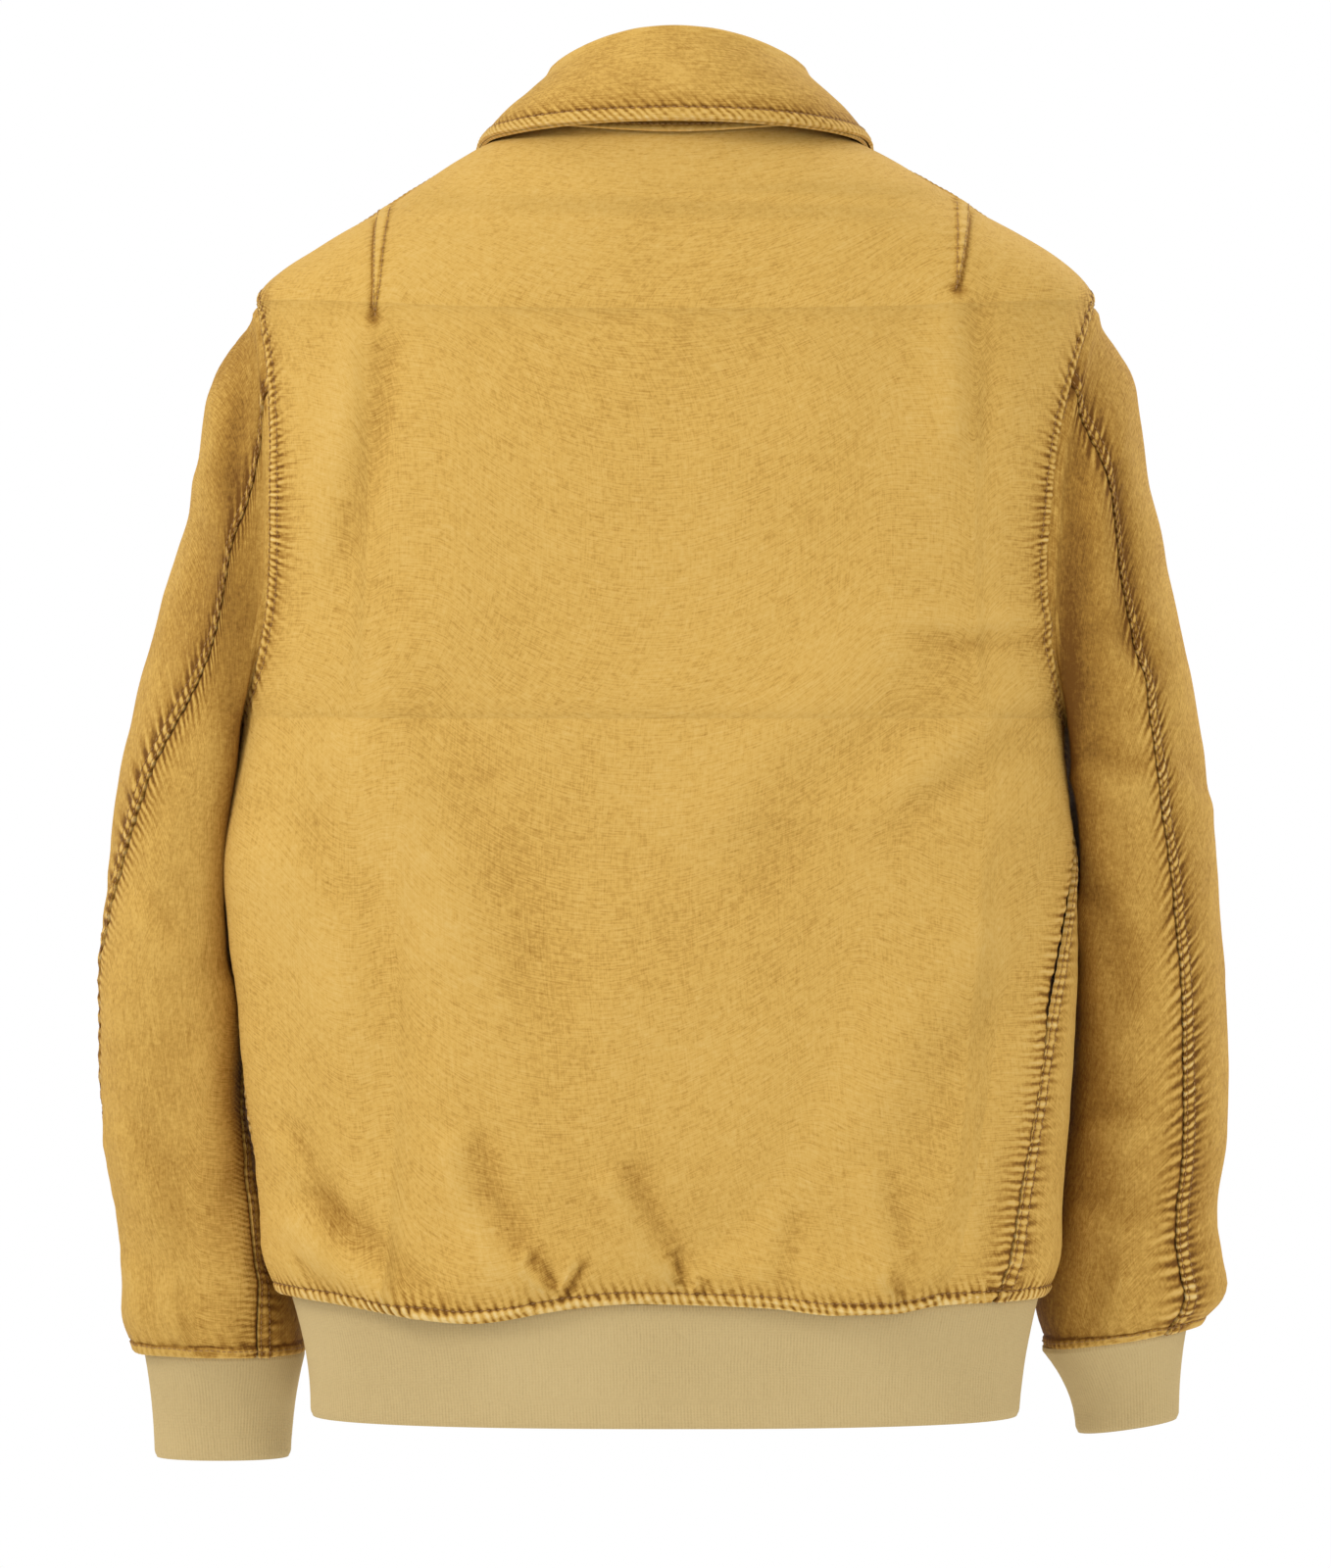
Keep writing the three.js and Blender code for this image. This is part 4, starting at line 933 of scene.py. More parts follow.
# Each fold: its line as (x, z) points, its height, its width and how deep its painted shade is.
SIDE_FOLD = ([(170, -530), (160, -575), (150, -608)], 2.2, 11, 0.26)
BACK_FOLDS = [
    ([(-160, -96), (-164, -150), (-176, -205), (-186, -262)], 4.4, 13, 0.4),
    ([(148, -84), (150, -130), (150, -190)], 2.8, 12, 0.3),
    ([(-206, -562), (-168, -590), (-136, -607), (-112, -617)], 6.0, 12, 0.5),
    ([(-214, -520), (-192, -556), (-180, -590), (-172, -612)], 2.4, 9, 0.28),
    ([(-112, -520), (-106, -556), (-88, -586), (-66, -608)], 5.4, 11, 0.5),
    ([(-34, -540), (-18, -572), (-2, -600), (4, -612)], 5.0, 9, 0.5),
    ([(104, -540), (112, -580), (118, -610)], 2.2, 9, 0.3),
    ([(60, -560), (52, -590), (46, -612)], 1.6, 8, 0.24),
    SIDE_FOLD,
    ([(-150, -600), (-138, -613)], 1.8, 4, 0.4),
    ([(-78, -586), (-60, -612)], 4.6, 3.6, 1.5),
    ([(-48, -590), (-62, -613)], 3.0, 3.2, 1.2),
    ([(-6, -588), (4, -612)], 4.2, 3.4, 1.4),
    ([(14, -598), (9, -613)], 2.6, 3.0, 0.9),
    ([(108, -594), (116, -613)], 3.0, 3.4, 1.0),
    ([(-198, -592), (-186, -613)], 1.8, 5, 0.4),
    ([(150, -250), (60, -330), (0, -420)], 3.4, 26, 0.16),
    ([(-170, -290), (-110, -400), (-70, -520)], 4.4, 30, 0.2),
    ([(206, -262), (150, -266), (100, -258)], 2.2, 8, 0.3),
    ([(206, -290), (150, -330), (90, -372)], 2.4, 12, 0.2),
    ([(-216, -360), (-170, -430), (-150, -520)], 4.2, 22, 0.22),
    ([(190, -420), (130, -480), (90, -560)], 3.6, 24, 0.16),
]
FRONT_FOLDS = [
    ([(150, -150), (120, -220), (100, -300)], 1.8, 18, 0.16),
    ([(-150, -150), (-120, -220), (-100, -300)], 1.8, 18, 0.16),
    ([(180, -330), (120, -370), (60, -380)], 1.6, 16, 0.16),
    ([(-190, -330), (-130, -380), (-60, -400)], 1.6, 16, 0.16),
    ([(60, -520), (80, -570), (84, -612)], 2.4, 10, 0.3),
    ([(-60, -520), (-76, -570), (-90, -612)], 2.4, 10, 0.3),
    ([(130, -560), (124, -612)], 2.0, 7, 0.3),
    ([(-130, -560), (-140, -612)], 2.0, 7, 0.3),
    ([(26, -580), (30, -612)], 1.6, 5, 0.3),
    ([(-26, -580), (-32, -612)], 1.6, 5, 0.3),
]


def add_folds(cloth, folds, mask=1.0):
    x, z = cloth.points[..., 0], cloth.points[..., 2]
    for line, height, width, shade in folds:
        relief, painted_light_and_tone = fold(x, z, line, height, width, shade)
        cloth.add(relief * mask, painted_light_and_tone * mask)


DART_LINES = {
    "left": [(-158.6, -34), (-157.5, -60), (-157, -84), (-157.6, -101)],
    "right": [(158, -33), (154.5, -52), (151, -70), (147.6, -87)],
}


def dart_width(share):
    return BAND * (1 - share) ** 0.8 + 0.6


def dart(x, z, line, sign):
    """A pressed dart: a sharp folded edge with a stitched band beside it that narrows to a point."""
    off, share = polyline_offsets(x, z, line)
    off = off * sign
    width = dart_width(share)
    live = smooth(share * 40) * smooth((1 - share) * 12)
    band = smooth((off + 0.6) / 1.0) * smooth((width + 1.2 - off) / 1.4)
    line_at = bell(off - width, 0.9)
    ladder = rungs(-z, 6.2, 31 + sign)
    relief = live * (1.3 * band - 0.5 * line_at - 0.8 * bell(off + 1.4, 1.3) + 0.25 * ladder * band)
    outside = np.exp(-np.maximum(off - width, 0) / 5) * smooth((off - width) / 1.2)
    edge = bell(off + 0.8, 1.0)
    # Painted light and shade: darker along the folded edge, in the stitch line and at the tip, lighter and
    # darker on the ladder of puckers.
    painted_light_and_tone = live * (band * (0.14 + 0.36 * ladder) - 0.95 * edge - 0.6 * line_at + 0.3 * ladder * outside)
    tip = np.hypot(x - line[-1][0], z - line[-1][1])
    return relief - 1.6 * bell(tip, 5), painted_light_and_tone - 0.8 * bell(tip, 4.0)


def hem_body(cloth, seed):
    """The cloth blouses over the rib, and its stitched edge waves."""
    off = cloth.from_foot
    x = cloth.points[..., 0]
    relief, painted_light_and_tone = turned_hem(off, cloth.across + 40, seed, 1.25 + 0.4 * wander(x, 60, seed + 9))
    cloth.add(relief, painted_light_and_tone)
    cloth.sew(off, cloth.across, 1.25, FROM_SEAM[FAR_LINE])
    drawn = smooth((70 - off) / 70)
    gathers = rungs(x + cloth.points[..., 1], 31, seed + 4) * 1.3 + rungs(x, 17, seed + 5) * 0.7
    cloth.add(gathers * np.exp(-off / 22) * smooth(off / 8))
    cloth.add(drawn * 3.6 + 3.0 * bell(off - 22, 16))
    share = smooth((60 - off) / 60)
    cloth.points[..., 2] -= hem_wave(x) * share * (cloth.points[..., 1] < AXIS_Y)


def shape_panel(cloth, seams_at, seed):
    """Seams and crumple that every body panel has. seams_at gives each edge's kind, a turned hem among them.
    """
    x, z = cloth.points[..., 0], cloth.points[..., 2]
    sizes = ((1.9, 85), (1.0, 38), (0.3, 15))
    bumps = sum(height * crumple(x, z, spacing, seed + i) for i, (height, spacing) in enumerate(sizes))
    cloth.add(bumps * smooth((cloth.down - 2) / 30))
    cloth.add(0, 0.05 * crumple(x, z, 70, seed + 3) + 0.04 * crumple(x, z, 22, seed + 4))
    below = smooth((cloth.depth - UNDERARM - 2) / 16)
    above = smooth((SHOULDER_DROP - cloth.depth) / 8)
    for off, kinds in ((cloth.across, seams_at[0]), (cloth.from_end, seams_at[1])):
        for mask, (kind, kind_seed, pucker) in zip((above, below), kinds):
            if kind:
                relief, painted_light_and_tone = kind(off, cloth.down[:, :1] + 0 * off, kind_seed, pucker)
                cloth.add(relief * mask, painted_light_and_tone * mask)
                if kind is not turned_hem:
                    cloth.sew(off, cloth.down[:, :1], pucker * mask)


def add_armhole(cloth, reach, seed, pucker):
    off, along = armhole_offset(cloth, reach)
    relief, painted_light_and_tone = felled_seam(off, along, seed, pucker)
    # Off the armhole itself, near the shoulder seam and the side seam, the rings of stitching still go round.
    cloth.add(relief * smooth((34 - off) / 12), painted_light_and_tone * smooth((34 - off) / 12))
    cloth.sew(off, along, pucker)


def armhole_stitches(cloth, reach, sign, behind):
    for off in (FROM_SEAM[NEAR_LINE], FROM_SEAM[FAR_LINE] + 0.4):
        depth, turn = armhole_line(reach, off, sign, behind)
        base, normals = torso(depth, turn), torso_normal(depth, turn)
        seams["torso"].append(lay_on(cloth, base, normals))


LEAST_CUT_SHARE = 0.31


def declare(cloth):
    """Works out the size of the rectangle that a sheet is cut from, and its cut area, and keeps neither."""
    width = cloth.across[:, -1].max() * MM
    length = cloth.down[-1].max() * MM
    area = max(min(cloth.area(), width * length), LEAST_CUT_SHARE * width * length)


DART_X = 154


def closer_at_darts(x):
    """The back's columns stand six times as close together where its darts are."""
    return 1 + 5 * bell(np.abs(x) - DART_X, 12)


class BLOUSON_OT_panels(bpy.types.Operator):
    """Builds the back and the two fronts of the body, with their seams, darts, folds and hem"""

    bl_idname = "blouson.panels"
    bl_label = "Body Panels"

    def execute(self, context):
        depths = body_depths()
        nothing = (None, 0, 0)
        back = torso_cloth(back_limits, depths, 104, density=closer_at_darts)
        shape_panel(back, ((nothing, (plain_edge, 11, 0.8)), (nothing, (plain_edge, 12, 1.0))), 5)
        x, z = back.points[..., 0], back.points[..., 2]
        add_folds(back, BACK_FOLDS)
        for side, sign in (("left", -1), ("right", 1)):
            back.add(*dart(x, z, DART_LINES[side], sign))
        add_armhole(back, ARMHOLE_BACK, 21, 0.9)
        hem_body(back, 51)
        surfaces["back"] = back
        ob = wall("back_panel_cloth", back, CLOTH)
        dress(ob, finish("canvas"), "back_panel", slot="canvas", body="torso")
        declare(back)
        seams["torso"].append(back.face(STITCH_LIFT)[-1 - FAR_LINE])
        armhole_stitches(back, ARMHOLE_BACK, 1, True)
        armhole_stitches(back, ARMHOLE_BACK, -1, True)
        for side, sign in (("left", -1), ("right", 1)):
            self.stitch_dart(back, DART_LINES[side], sign)
        for side, limits, felled_first, node in (
            ("right", right_front_limits, True, "right_front_panel"),
            ("left", left_front_limits, False, "left_front_panel"),
        ):
            front = torso_cloth(limits, depths, 26)
            side_edge = ((felled_seam, 13, 0.5), (felled_seam, 12 if side == "right" else 11, 1.0))
            zip_edge = ((turned_hem, 14, 0.3), (turned_hem, 14, 0.3))
            shape_panel(front, (side_edge, zip_edge) if felled_first else (zip_edge, side_edge), 7)
            off = front.from_end if felled_first else front.across
            within = smooth((front.depth - 60) / 20) * smooth((UNDERARM + 20 - front.depth) / 20)
            relief, painted_light_and_tone = turned_hem(off, front.down, 14, 0.3)
            front.add(relief * within, painted_light_and_tone * within)
            add_folds(front, FRONT_FOLDS, smooth((front.points[..., 1] - AXIS_Y) / 20))
            add_folds(front, [SIDE_FOLD], smooth((AXIS_Y - front.points[..., 1]) / 20))
            add_armhole(front, ARMHOLE_FRONT, 22, 0.8)
            hem_body(front, 52)
            surfaces[side + "_front"] = front
            ob = wall(node + "_cloth", front, CLOTH)
            dress(ob, finish("canvas"), node, slot="canvas", body="torso")
            declare(front)
            first, last = (0, -1) if felled_first else (-1, 0)
            step = 1 if felled_first else -1
            below = front.depth[:, 0] > UNDERARM + 6
            above = front.depth[:, 0] < SHOULDER_DROP - 4
            face = front.face(STITCH_LIFT)
            for line in (NEAR_LINE, FAR_LINE):
                for rows in (below, above):
                    seams["torso"].append(face[rows, first + step * line])
            seams["torso"].append(face[:, last - step * FAR_LINE])
            seams["torso"].append(face[-1 - FAR_LINE])
            armhole_stitches(front, ARMHOLE_FRONT, 1 if side == "right" else -1, False)
        return {"FINISHED"}

    def stitch_dart(self, back, line, sign):
        line = np.array(line, float)
        share = np.linspace(0.03, 0.97, 40)
        x = np.interp(share, np.linspace(0, 1, len(line)), line[:, 0])
        z = np.interp(share, np.linspace(0, 1, len(line)), line[:, 1])
        for width in (0.9, dart_width(share)):
            base, normals = on_back(x - sign * width, z)
            seams["torso"].append(lay_on(back, base, normals))


def on_back(x, z):
    """The points of the back's surface seen at these places, and their normals."""
    depth = -z + 0.0 * x
    for _ in range(12):
        r = ring(depth)
        half = np.where(x < 0, r["left"], r["right"])
        turn = np.arcsin(np.clip(np.abs(x) / half, 0, 1) ** (r["back_power"] / 2))
        angle = math.pi / 2 + np.sign(x) * turn
        depth = depth + ring_point(r, angle)[..., 2] - z
    return torso(depth, angle), torso_normal(depth, angle)


# ------------------------------------------------------------------ facings and linings
class BLOUSON_OT_linings(bpy.types.Operator):
    """Builds the facings and the lining inside the body"""

    bl_idname = "blouson.linings"
    bl_label = "Body Linings"

    def execute(self, context):
        coarse = np.array([0, 1, 4, 9, 15.0])

        def piece(node, limits, top, bottom, trims, kind, slot, middle, folds=1.0):
            rows = np.linspace(top, bottom, max(14, int((bottom - top) / 7)))
            tips = np.array([0.004, 0.02, 0.05, 0.95, 0.98, 0.996]) * ARMHOLE_DEPTH + SHOULDER_DROP
            rows = np.unique(np.concatenate([rows, tips[(tips > top) & (tips < bottom)]]))
            cloth = torso_cloth(limits, rows, middle, trims, coarse, coarse)
            x, z = cloth.points[..., 0], cloth.points[..., 2]
            inward = np.minimum(cloth.across, cloth.from_end)
            cloth.add(-folds * smooth(inward / 25) * (0.9 + 0.9 * crumple(x, z, 45, 91)))
            cloth.add(0, 0.08 * crumple(x, z, 30, 92))
            ob = wall(node + "_cloth", cloth, LINING, -LINING_OFFSET)
            dress(ob, finish(kind), node, slot=slot, body="torso")
            declare(cloth)
            return cloth

        def right_strip(depth):
            return right_front_limits(depth, FACING_WIDTH)[1], right_front_limits(depth, 4)[1]

        def left_strip(depth):
            return left_front_limits(depth, 4)[0], left_front_limits(depth, FACING_WIDTH)[0]

        def right_lining(depth):
            return right_front_limits(depth, FACING_WIDTH + 2)

        def left_lining(depth):
            return left_front_limits(depth, FACING_WIDTH + 2)

        piece("right_front_facing", right_strip, TOP, BOTTOM, (0, 0), "facing", "facing", 6, 0.2)
        piece("left_front_facing", left_strip, TOP, BOTTOM, (0, 0), "facing", "facing", 6, 0.2)
        piece("back_neck_facing", back_limits, TOP, 48, (9, 9), "facing", "facing", 30, 0.2)
        piece("back_lining", back_limits, 50, BOTTOM, (5, 5), "lining", "lining", 50)
        piece("right_front_lining", right_lining, TOP + 1.5, BOTTOM, (8, 1), "lining", "lining", 22)
        piece("left_front_lining", left_lining, TOP + 1.5, BOTTOM, (1, 8), "lining", "lining", 22)
        return {"FINISHED"}


# ------------------------------------------------------------------ sleeves
STATIONS = [0, 0.08, 0.2, 0.4, 0.6, 0.8, 0.93, 1]
OUTER_FALL = through(STATIONS, [0, 0.05, 0.17, 0.4, 0.63, 0.83, 0.95, 1])
INNER_FALL = through(STATIONS, [0, 0.09, 0.21, 0.41, 0.62, 0.82, 0.95, 1])
SLEEVES = {
    "right": {
        "sign": 1,
        "outer_length": 553,
        "inner_length": 342,
        "width": through(STATIONS, [19, 33, 44, 70, 86, 98, 101, 84]),
        "back_seam": through(STATIONS, [53, 58, 66, 72, 70, 66, 63, 62]),
        "under_seam": through(STATIONS, [195, 197, 200, 204, 206, 207, 207, 207]),
        "wrist_shift": 8,
        "cuff": (7, 50, 21, 46),
    },
    "left": {
        "sign": -1,
        "outer_length": 567,
        "inner_length": 344,
        "width": through(STATIONS, [6, 11, 19, 61, 86, 94, 97, 92]),
        "back_seam": through(STATIONS, [53, 76, 82, 60, 18, -8, -22, -30]),
        "under_seam": through(STATIONS, [195, 194, 190, 175, 152, 132, 121, 118]),
        "wrist_shift": -3,
        "cuff": (8, 57, 10, 57),
    },
}
SLEEVE_MIDDLE = through([0, 0.3, 1], [0, 10, 44])
SLEEVE_DEEP = through([0, 0.25, 0.6, 0.85, 1], [64, 67, 60, mix(64, 43, 0.6), 43])
SLEEVE_TUCK, ARMHOLE_GAP, CUFF_DEPTH, CUFF_SEAM_GAP = 5, 2.8, 27, 1.4
SETTLED = 0.34
FOLLOWS = 0.46


def armhole_point(sign, turn):
    depth = SHOULDER_DROP + ARMHOLE_DEPTH * (1 - np.cos(turn)) / 2
    r = ring(depth)
    behind = np.sin(turn) > 0
    away = np.where(behind, ARMHOLE_BACK, ARMHOLE_FRONT) * armhole_spread(depth)
    angle = np.where(behind, back_angle(r, away), -front_angle(r, away))
    return ring_point(r, math.pi - angle if sign > 0 else angle)


def sleeve_section(sleeve, q):
    sign = sleeve["sign"]
    outer_z = -SHOULDER_DROP - sleeve["outer_length"] * OUTER_FALL(q)
    inner_z = -UNDERARM - sleeve["inner_length"] * INNER_FALL(q)
    side = "right" if sign > 0 else "left"
    edge = ring(np.minimum(-inner_z, BACK_LENGTH))[side]
    inner = edge - mix(-1, SLEEVE_TUCK, smooth(q / 0.3)) + sleeve["wrist_shift"] * smooth((q - 0.8) / 0.2)
    outer = mix(ring(SHOULDER_DROP)[side], inner + sleeve["width"](q), smooth(q / 0.12))
    return {
        "outer": (sign * outer, outer_z),
        "inner": (sign * inner, inner_z),
        "middle": SLEEVE_MIDDLE(q),
        "deep": SLEEVE_DEEP(q),
    }


def section_point(section, turn, roundness=2.2):
    u = (1 + power(np.cos(turn), 2 / roundness)) / 2
    y = section["middle"] - section["deep"] * power(np.sin(turn), 2 / roundness)
    x = mix(section["inner"][0], section["outer"][0], u)
    z = mix(section["inner"][1], section["outer"][1], u)
    return np.stack(np.broadcast_arrays(x, AXIS_Y + y, z), axis=-1)


def sleeve_point(sleeve, q, turn):
    q = np.asarray(q, float) + 0 * turn
    sign = sleeve["sign"]
    point = section_point(sleeve_section(sleeve, q), turn)
    start = armhole_point(sign, turn) - section_point(sleeve_section(sleeve, 0 * q), turn)
    point = point + start * (1 - smooth(q / SETTLED))[..., None]
    x = point[..., 0] + sign * ARMHOLE_GAP
    clear = side_reach(sign, -point[..., 2], point[..., 1] - AXIS_Y) + ARMHOLE_GAP
    below = -point[..., 2] > SHOULDER_DROP
    point[..., 0] = np.where(below, sign * np.maximum(clear, sign * x), x)
    return point


def sleeve_cloth(sleeve, q, starts, ends, middle, columns=FROM_SEAM, closed=False):
    """A piece of a sleeve between two turns as cloth. The right sleeve's rows run the other way."""
    column = q[:, None]

    def path(turn):
        return sleeve_point(sleeve, column, turn)

    trims = (0, 0) if closed else (0.5, 0.5)
    turns = rows_of_turns(path, starts, ends, trims, columns, columns, middle)
    if closed:
        turns = turns[:, :-1]
    if sleeve["sign"] > 0:
        turns = turns[:, ::-1]
    across = -sleeve["sign"] * (path(turns + 0.05) - path(turns - 0.05))
    lower = sleeve_point(sleeve, np.minimum(column + 0.008, 1), turns)
    down = lower - sleeve_point(sleeve, np.maximum(column - 0.008, 0), turns)
    cloth = Cloth(path(turns), unit(np.cross(down, across)), closed)
    cloth.q, cloth.turn = np.broadcast_to(column, turns.shape), turns
    cloth.weight = smooth(cloth.q / FOLLOWS)
    return cloth


RIGHT_SLEEVE_FOLDS = [
    ([(224, -170), (232, -230), (236, -290)], 3.0, 9, 0.5),
    ([(214, -262), (236, -276), (262, -300)], 2.6, 10, 0.3),
    ([(212, -330), (232, -342), (258, -345)], 3.0, 10, 0.4),
    ([(212, -400), (228, -430), (234, -480)], 3.0, 12, 0.4),
    ([(218, -520), (240, -528), (262, -520)], 2.2, 10, 0.24),
    ([(262, -330), (280, -352), (296, -360)], 1.8, 9, 0.16),
    ([(212, -565), (236, -580), (268, -578)], 2.0, 10, 0.24),
    ([(226, -640), (236, -616), (240, -590)], 1.8, 8, 0.2),
]
LEFT_SLEEVE_FOLDS = [
    ([(-238, -130), (-244, -180), (-238, -226)], 3.0, 10, 0.5),
    ([(-250, -170), (-262, -230), (-280, -280)], 2.2, 12, 0.22),
    ([(-232, -300), (-238, -360), (-236, -420), (-226, -470)], 3.4, 14, 0.6),
    ([(-228, -440), (-240, -500), (-232, -560)], 3.0, 14, 0.5),
    ([(-292, -400), (-270, -430), (-250, -440)], 1.8, 10, 0.18),
    ([(-300, -520), (-280, -560), (-266, -600)], 1.8, 12, 0.2),
    ([(-218, -560), (-226, -600), (-222, -640)], 2.2, 10, 0.4),
    ([(-270, -610), (-262, -648)], 1.8, 7, 0.2),
    ([(-290, -600), (-286, -645)], 1.6, 7, 0.2),
]


def tuck_head(cloth, sign):
    """Turns the sleeve's head in under the body's edge, where it is sewn."""
    share = (1 - smooth(cloth.q / 0.014))[..., None]
    centre = np.array([0, AXIS_Y - 12, -SHOULDER_DROP - ARMHOLE_DEPTH / 2])
    outward = unit((cloth.points - centre) * np.array([0, 1, 1]))
    cloth.points = cloth.points + share * (3.0 * outward - np.array([sign * (ARMHOLE_GAP + 3.2), 0, 0]))
    normals = np.cross(np.gradient(cloth.points, axis=0), np.gradient(cloth.points, axis=1))
    cloth.normals = unit(mix(cloth.normals, unit(normals), share))


INNER_SHADE = {"right": 0.95, "left": 0.45}  # how much darker each sleeve is where it faces the body


def shape_sleeve(cloth, side, folds, seed, edges):
    tuck_head(cloth, SLEEVES[side]["sign"])
    x, z = cloth.points[..., 0], cloth.points[..., 2]
    y = cloth.points[..., 1]
    settled = smooth(cloth.q / 0.06)
    bumps = 1.6 * crumple(x + y, z, 58, seed) + 0.9 * crumple(x - y, z, 26, seed + 1)
    cloth.add(settled * (bumps + 0.25 * crumple(x + y, z, 12, seed + 2)))
    cloth.add(0, 0.07 * crumple(x + y, z, 50, seed + 3) + 0.06 * crumple(x + y, z, 18, seed + 4))
    behind = smooth((AXIS_Y + 30 - y) / 24)
    add_folds(cloth, folds, behind * settled)
    add_folds(cloth, [(line, h, w, s * 0.5) for line, h, w, s in folds[1:6]], (1 - behind) * settled)
    inner = SLEEVES[side]["sign"] * (x - sleeve_section(SLEEVES[side], cloth.q)["inner"][0])
    # Painted shade on the side of the sleeve that faces the body.
    cloth.add(0, -INNER_SHADE[side] * np.exp(-np.maximum(inner, 0) / 19) * smooth((cloth.q + 0.05) / 0.16))
    for off, kind, kind_seed, pucker in edges(cloth):
        relief, painted_light_and_tone = kind(off, cloth.down[:, :1] + 0 * off, kind_seed, pucker)
        cloth.add(relief, painted_light_and_tone)
        cloth.sew(off, cloth.down[:, :1], pucker)
    head, eased = cloth.down, rungs(cloth.across, 12, seed + 8)
    cloth.add(-0.9 * bell(head, 1.4) + 0.9 * bell(head - 7, 6) + 0.3 * eased * np.exp(-head / 12))
    # Painted shade where the sleeve's head tucks in under the body's edge, and painted light and shade on its
    # eased ripples.
    cloth.add(0, -0.35 * bell(head, 2.5) + 0.16 * eased * np.exp(-head / 9))
    relief, painted_light_and_tone = turned_hem(cloth.from_foot, cloth.across + 9, seed + 6, 0.6)
    cloth.add(relief, painted_light_and_tone)
    foot, gathers = cloth.from_foot, rungs(cloth.across, 21, seed + 7)
    cloth.add(1.6 * bell(foot - 20, 13) + 0.9 * gathers * np.exp(-foot / 16) * smooth(foot / 7))


class BLOUSON_OT_sleeves(bpy.types.Operator):
    """Builds the two-piece sleeves and their linings"""

    bl_idname = "blouson.sleeves"
    bl_label = "Sleeves"

    def execute(self, context):
        for side, folds, seed in (("right", RIGHT_SLEEVE_FOLDS, 61), ("left", LEFT_SLEEVE_FOLDS, 81)):
            self.build(side, folds, seed)
        return {"FINISHED"}

    def build(self, side, folds, seed):
        sleeve = SLEEVES[side]
        foot = 1 - 0.002 - FROM_SEAM / 450
        even = np.arange(0.015, foot[-1] - 0.003, 0.0055)
        q = np.unique(np.concatenate([[0, 0.002, 0.005, 0.01], even, foot]))
        back, under = np.radians(sleeve["back_seam"](q)), np.radians(sleeve["under_seam"](q))
        slim = sleeve_cloth(sleeve, q, back, under, 22)
        full = sleeve_cloth(sleeve, q, under, back + TAU, 34)

        def ends(cloth):
            return (cloth.across, cloth.from_end) if sleeve["sign"] < 0 else (cloth.from_end, cloth.across)

        def slim_edges(cloth):
            back_edge, under_edge = ends(cloth)
            return [(back_edge, plain_edge, seed + 20, 0.9), (under_edge, plain_edge, seed + 30, 0.5)]

        def full_edges(cloth):
            under_edge, back_edge = ends(cloth)
            return [(back_edge, felled_seam, seed + 20, 1.5), (under_edge, felled_seam, seed + 30, 0.4)]

        shape_sleeve(slim, side, folds, seed, slim_edges)
        shape_sleeve(full, side, folds, seed, full_edges)
        for name, cloth in ((f"{side}_under_sleeve", slim), (f"{side}_upper_sleeve", full)):
            ob = wall(name + "_cloth", cloth, CLOTH)
            dress(ob, finish("sleeve_canvas"), name, slot="canvas")
            hang_between(ob, side)
            declare(cloth)
            note_row(f"{side}_sleeve", cloth, -1 - FAR_LINE)
        for line in (NEAR_LINE, FAR_LINE):
            columns = (line, -1 - line) if sleeve["sign"] > 0 else (-1 - line, line)
            for column in columns:
                note_column(f"{side}_sleeve", full, column)
        surfaces[side + "_sleeve"] = (slim, full)
        self.build_lining(side, sleeve, seed)

    def build_lining(self, side, sleeve, seed):
        q = np.concatenate([np.linspace(0.26, 0.985, 70), [0.992, 0.998]])
        edges = np.array([0, 3.0])
        lining = sleeve_cloth(sleeve, q, 0 * q, 0 * q + TAU, 64, edges, closed=True)
        x, z = lining.points[..., 0], lining.points[..., 2]
        lining.add(-0.8 - 0.8 * crumple(x + lining.points[..., 1], z, 35, seed + 50))
        ob = wall(f"{side}_sleeve_lining_cloth", lining, LINING, -SLEEVE_LINING_OFFSET)
        dress(ob, finish("lining"), f"{side}_sleeve_lining", slot="lining")
        hang_between(ob, side)
        declare(lining)


# ------------------------------------------------------------------ ribs
def even_ring(path, start, end, count, closed):
    """The turns at which a path has gone equal distances."""
    fine = np.linspace(start, end, 2000)
    points = path(fine)
    along = np.concatenate([[0], np.cumsum(np.linalg.norm(np.diff(points, axis=0), axis=1))])
    at = np.linspace(0, along[-1], count + 1)
    turns = np.interp(at, along, fine)
    return turns[:-1] if closed else turns


HEM_GIRTH, CUFF_GIRTH, COLUMNS_PER_RIB = 1150, 235, 4
RIB_DOWNS = np.concatenate([[-0.05, 0, 0.015, 0.05], np.linspace(0.12, 0.94, 8), [0.97, 0.99, 1.0]])


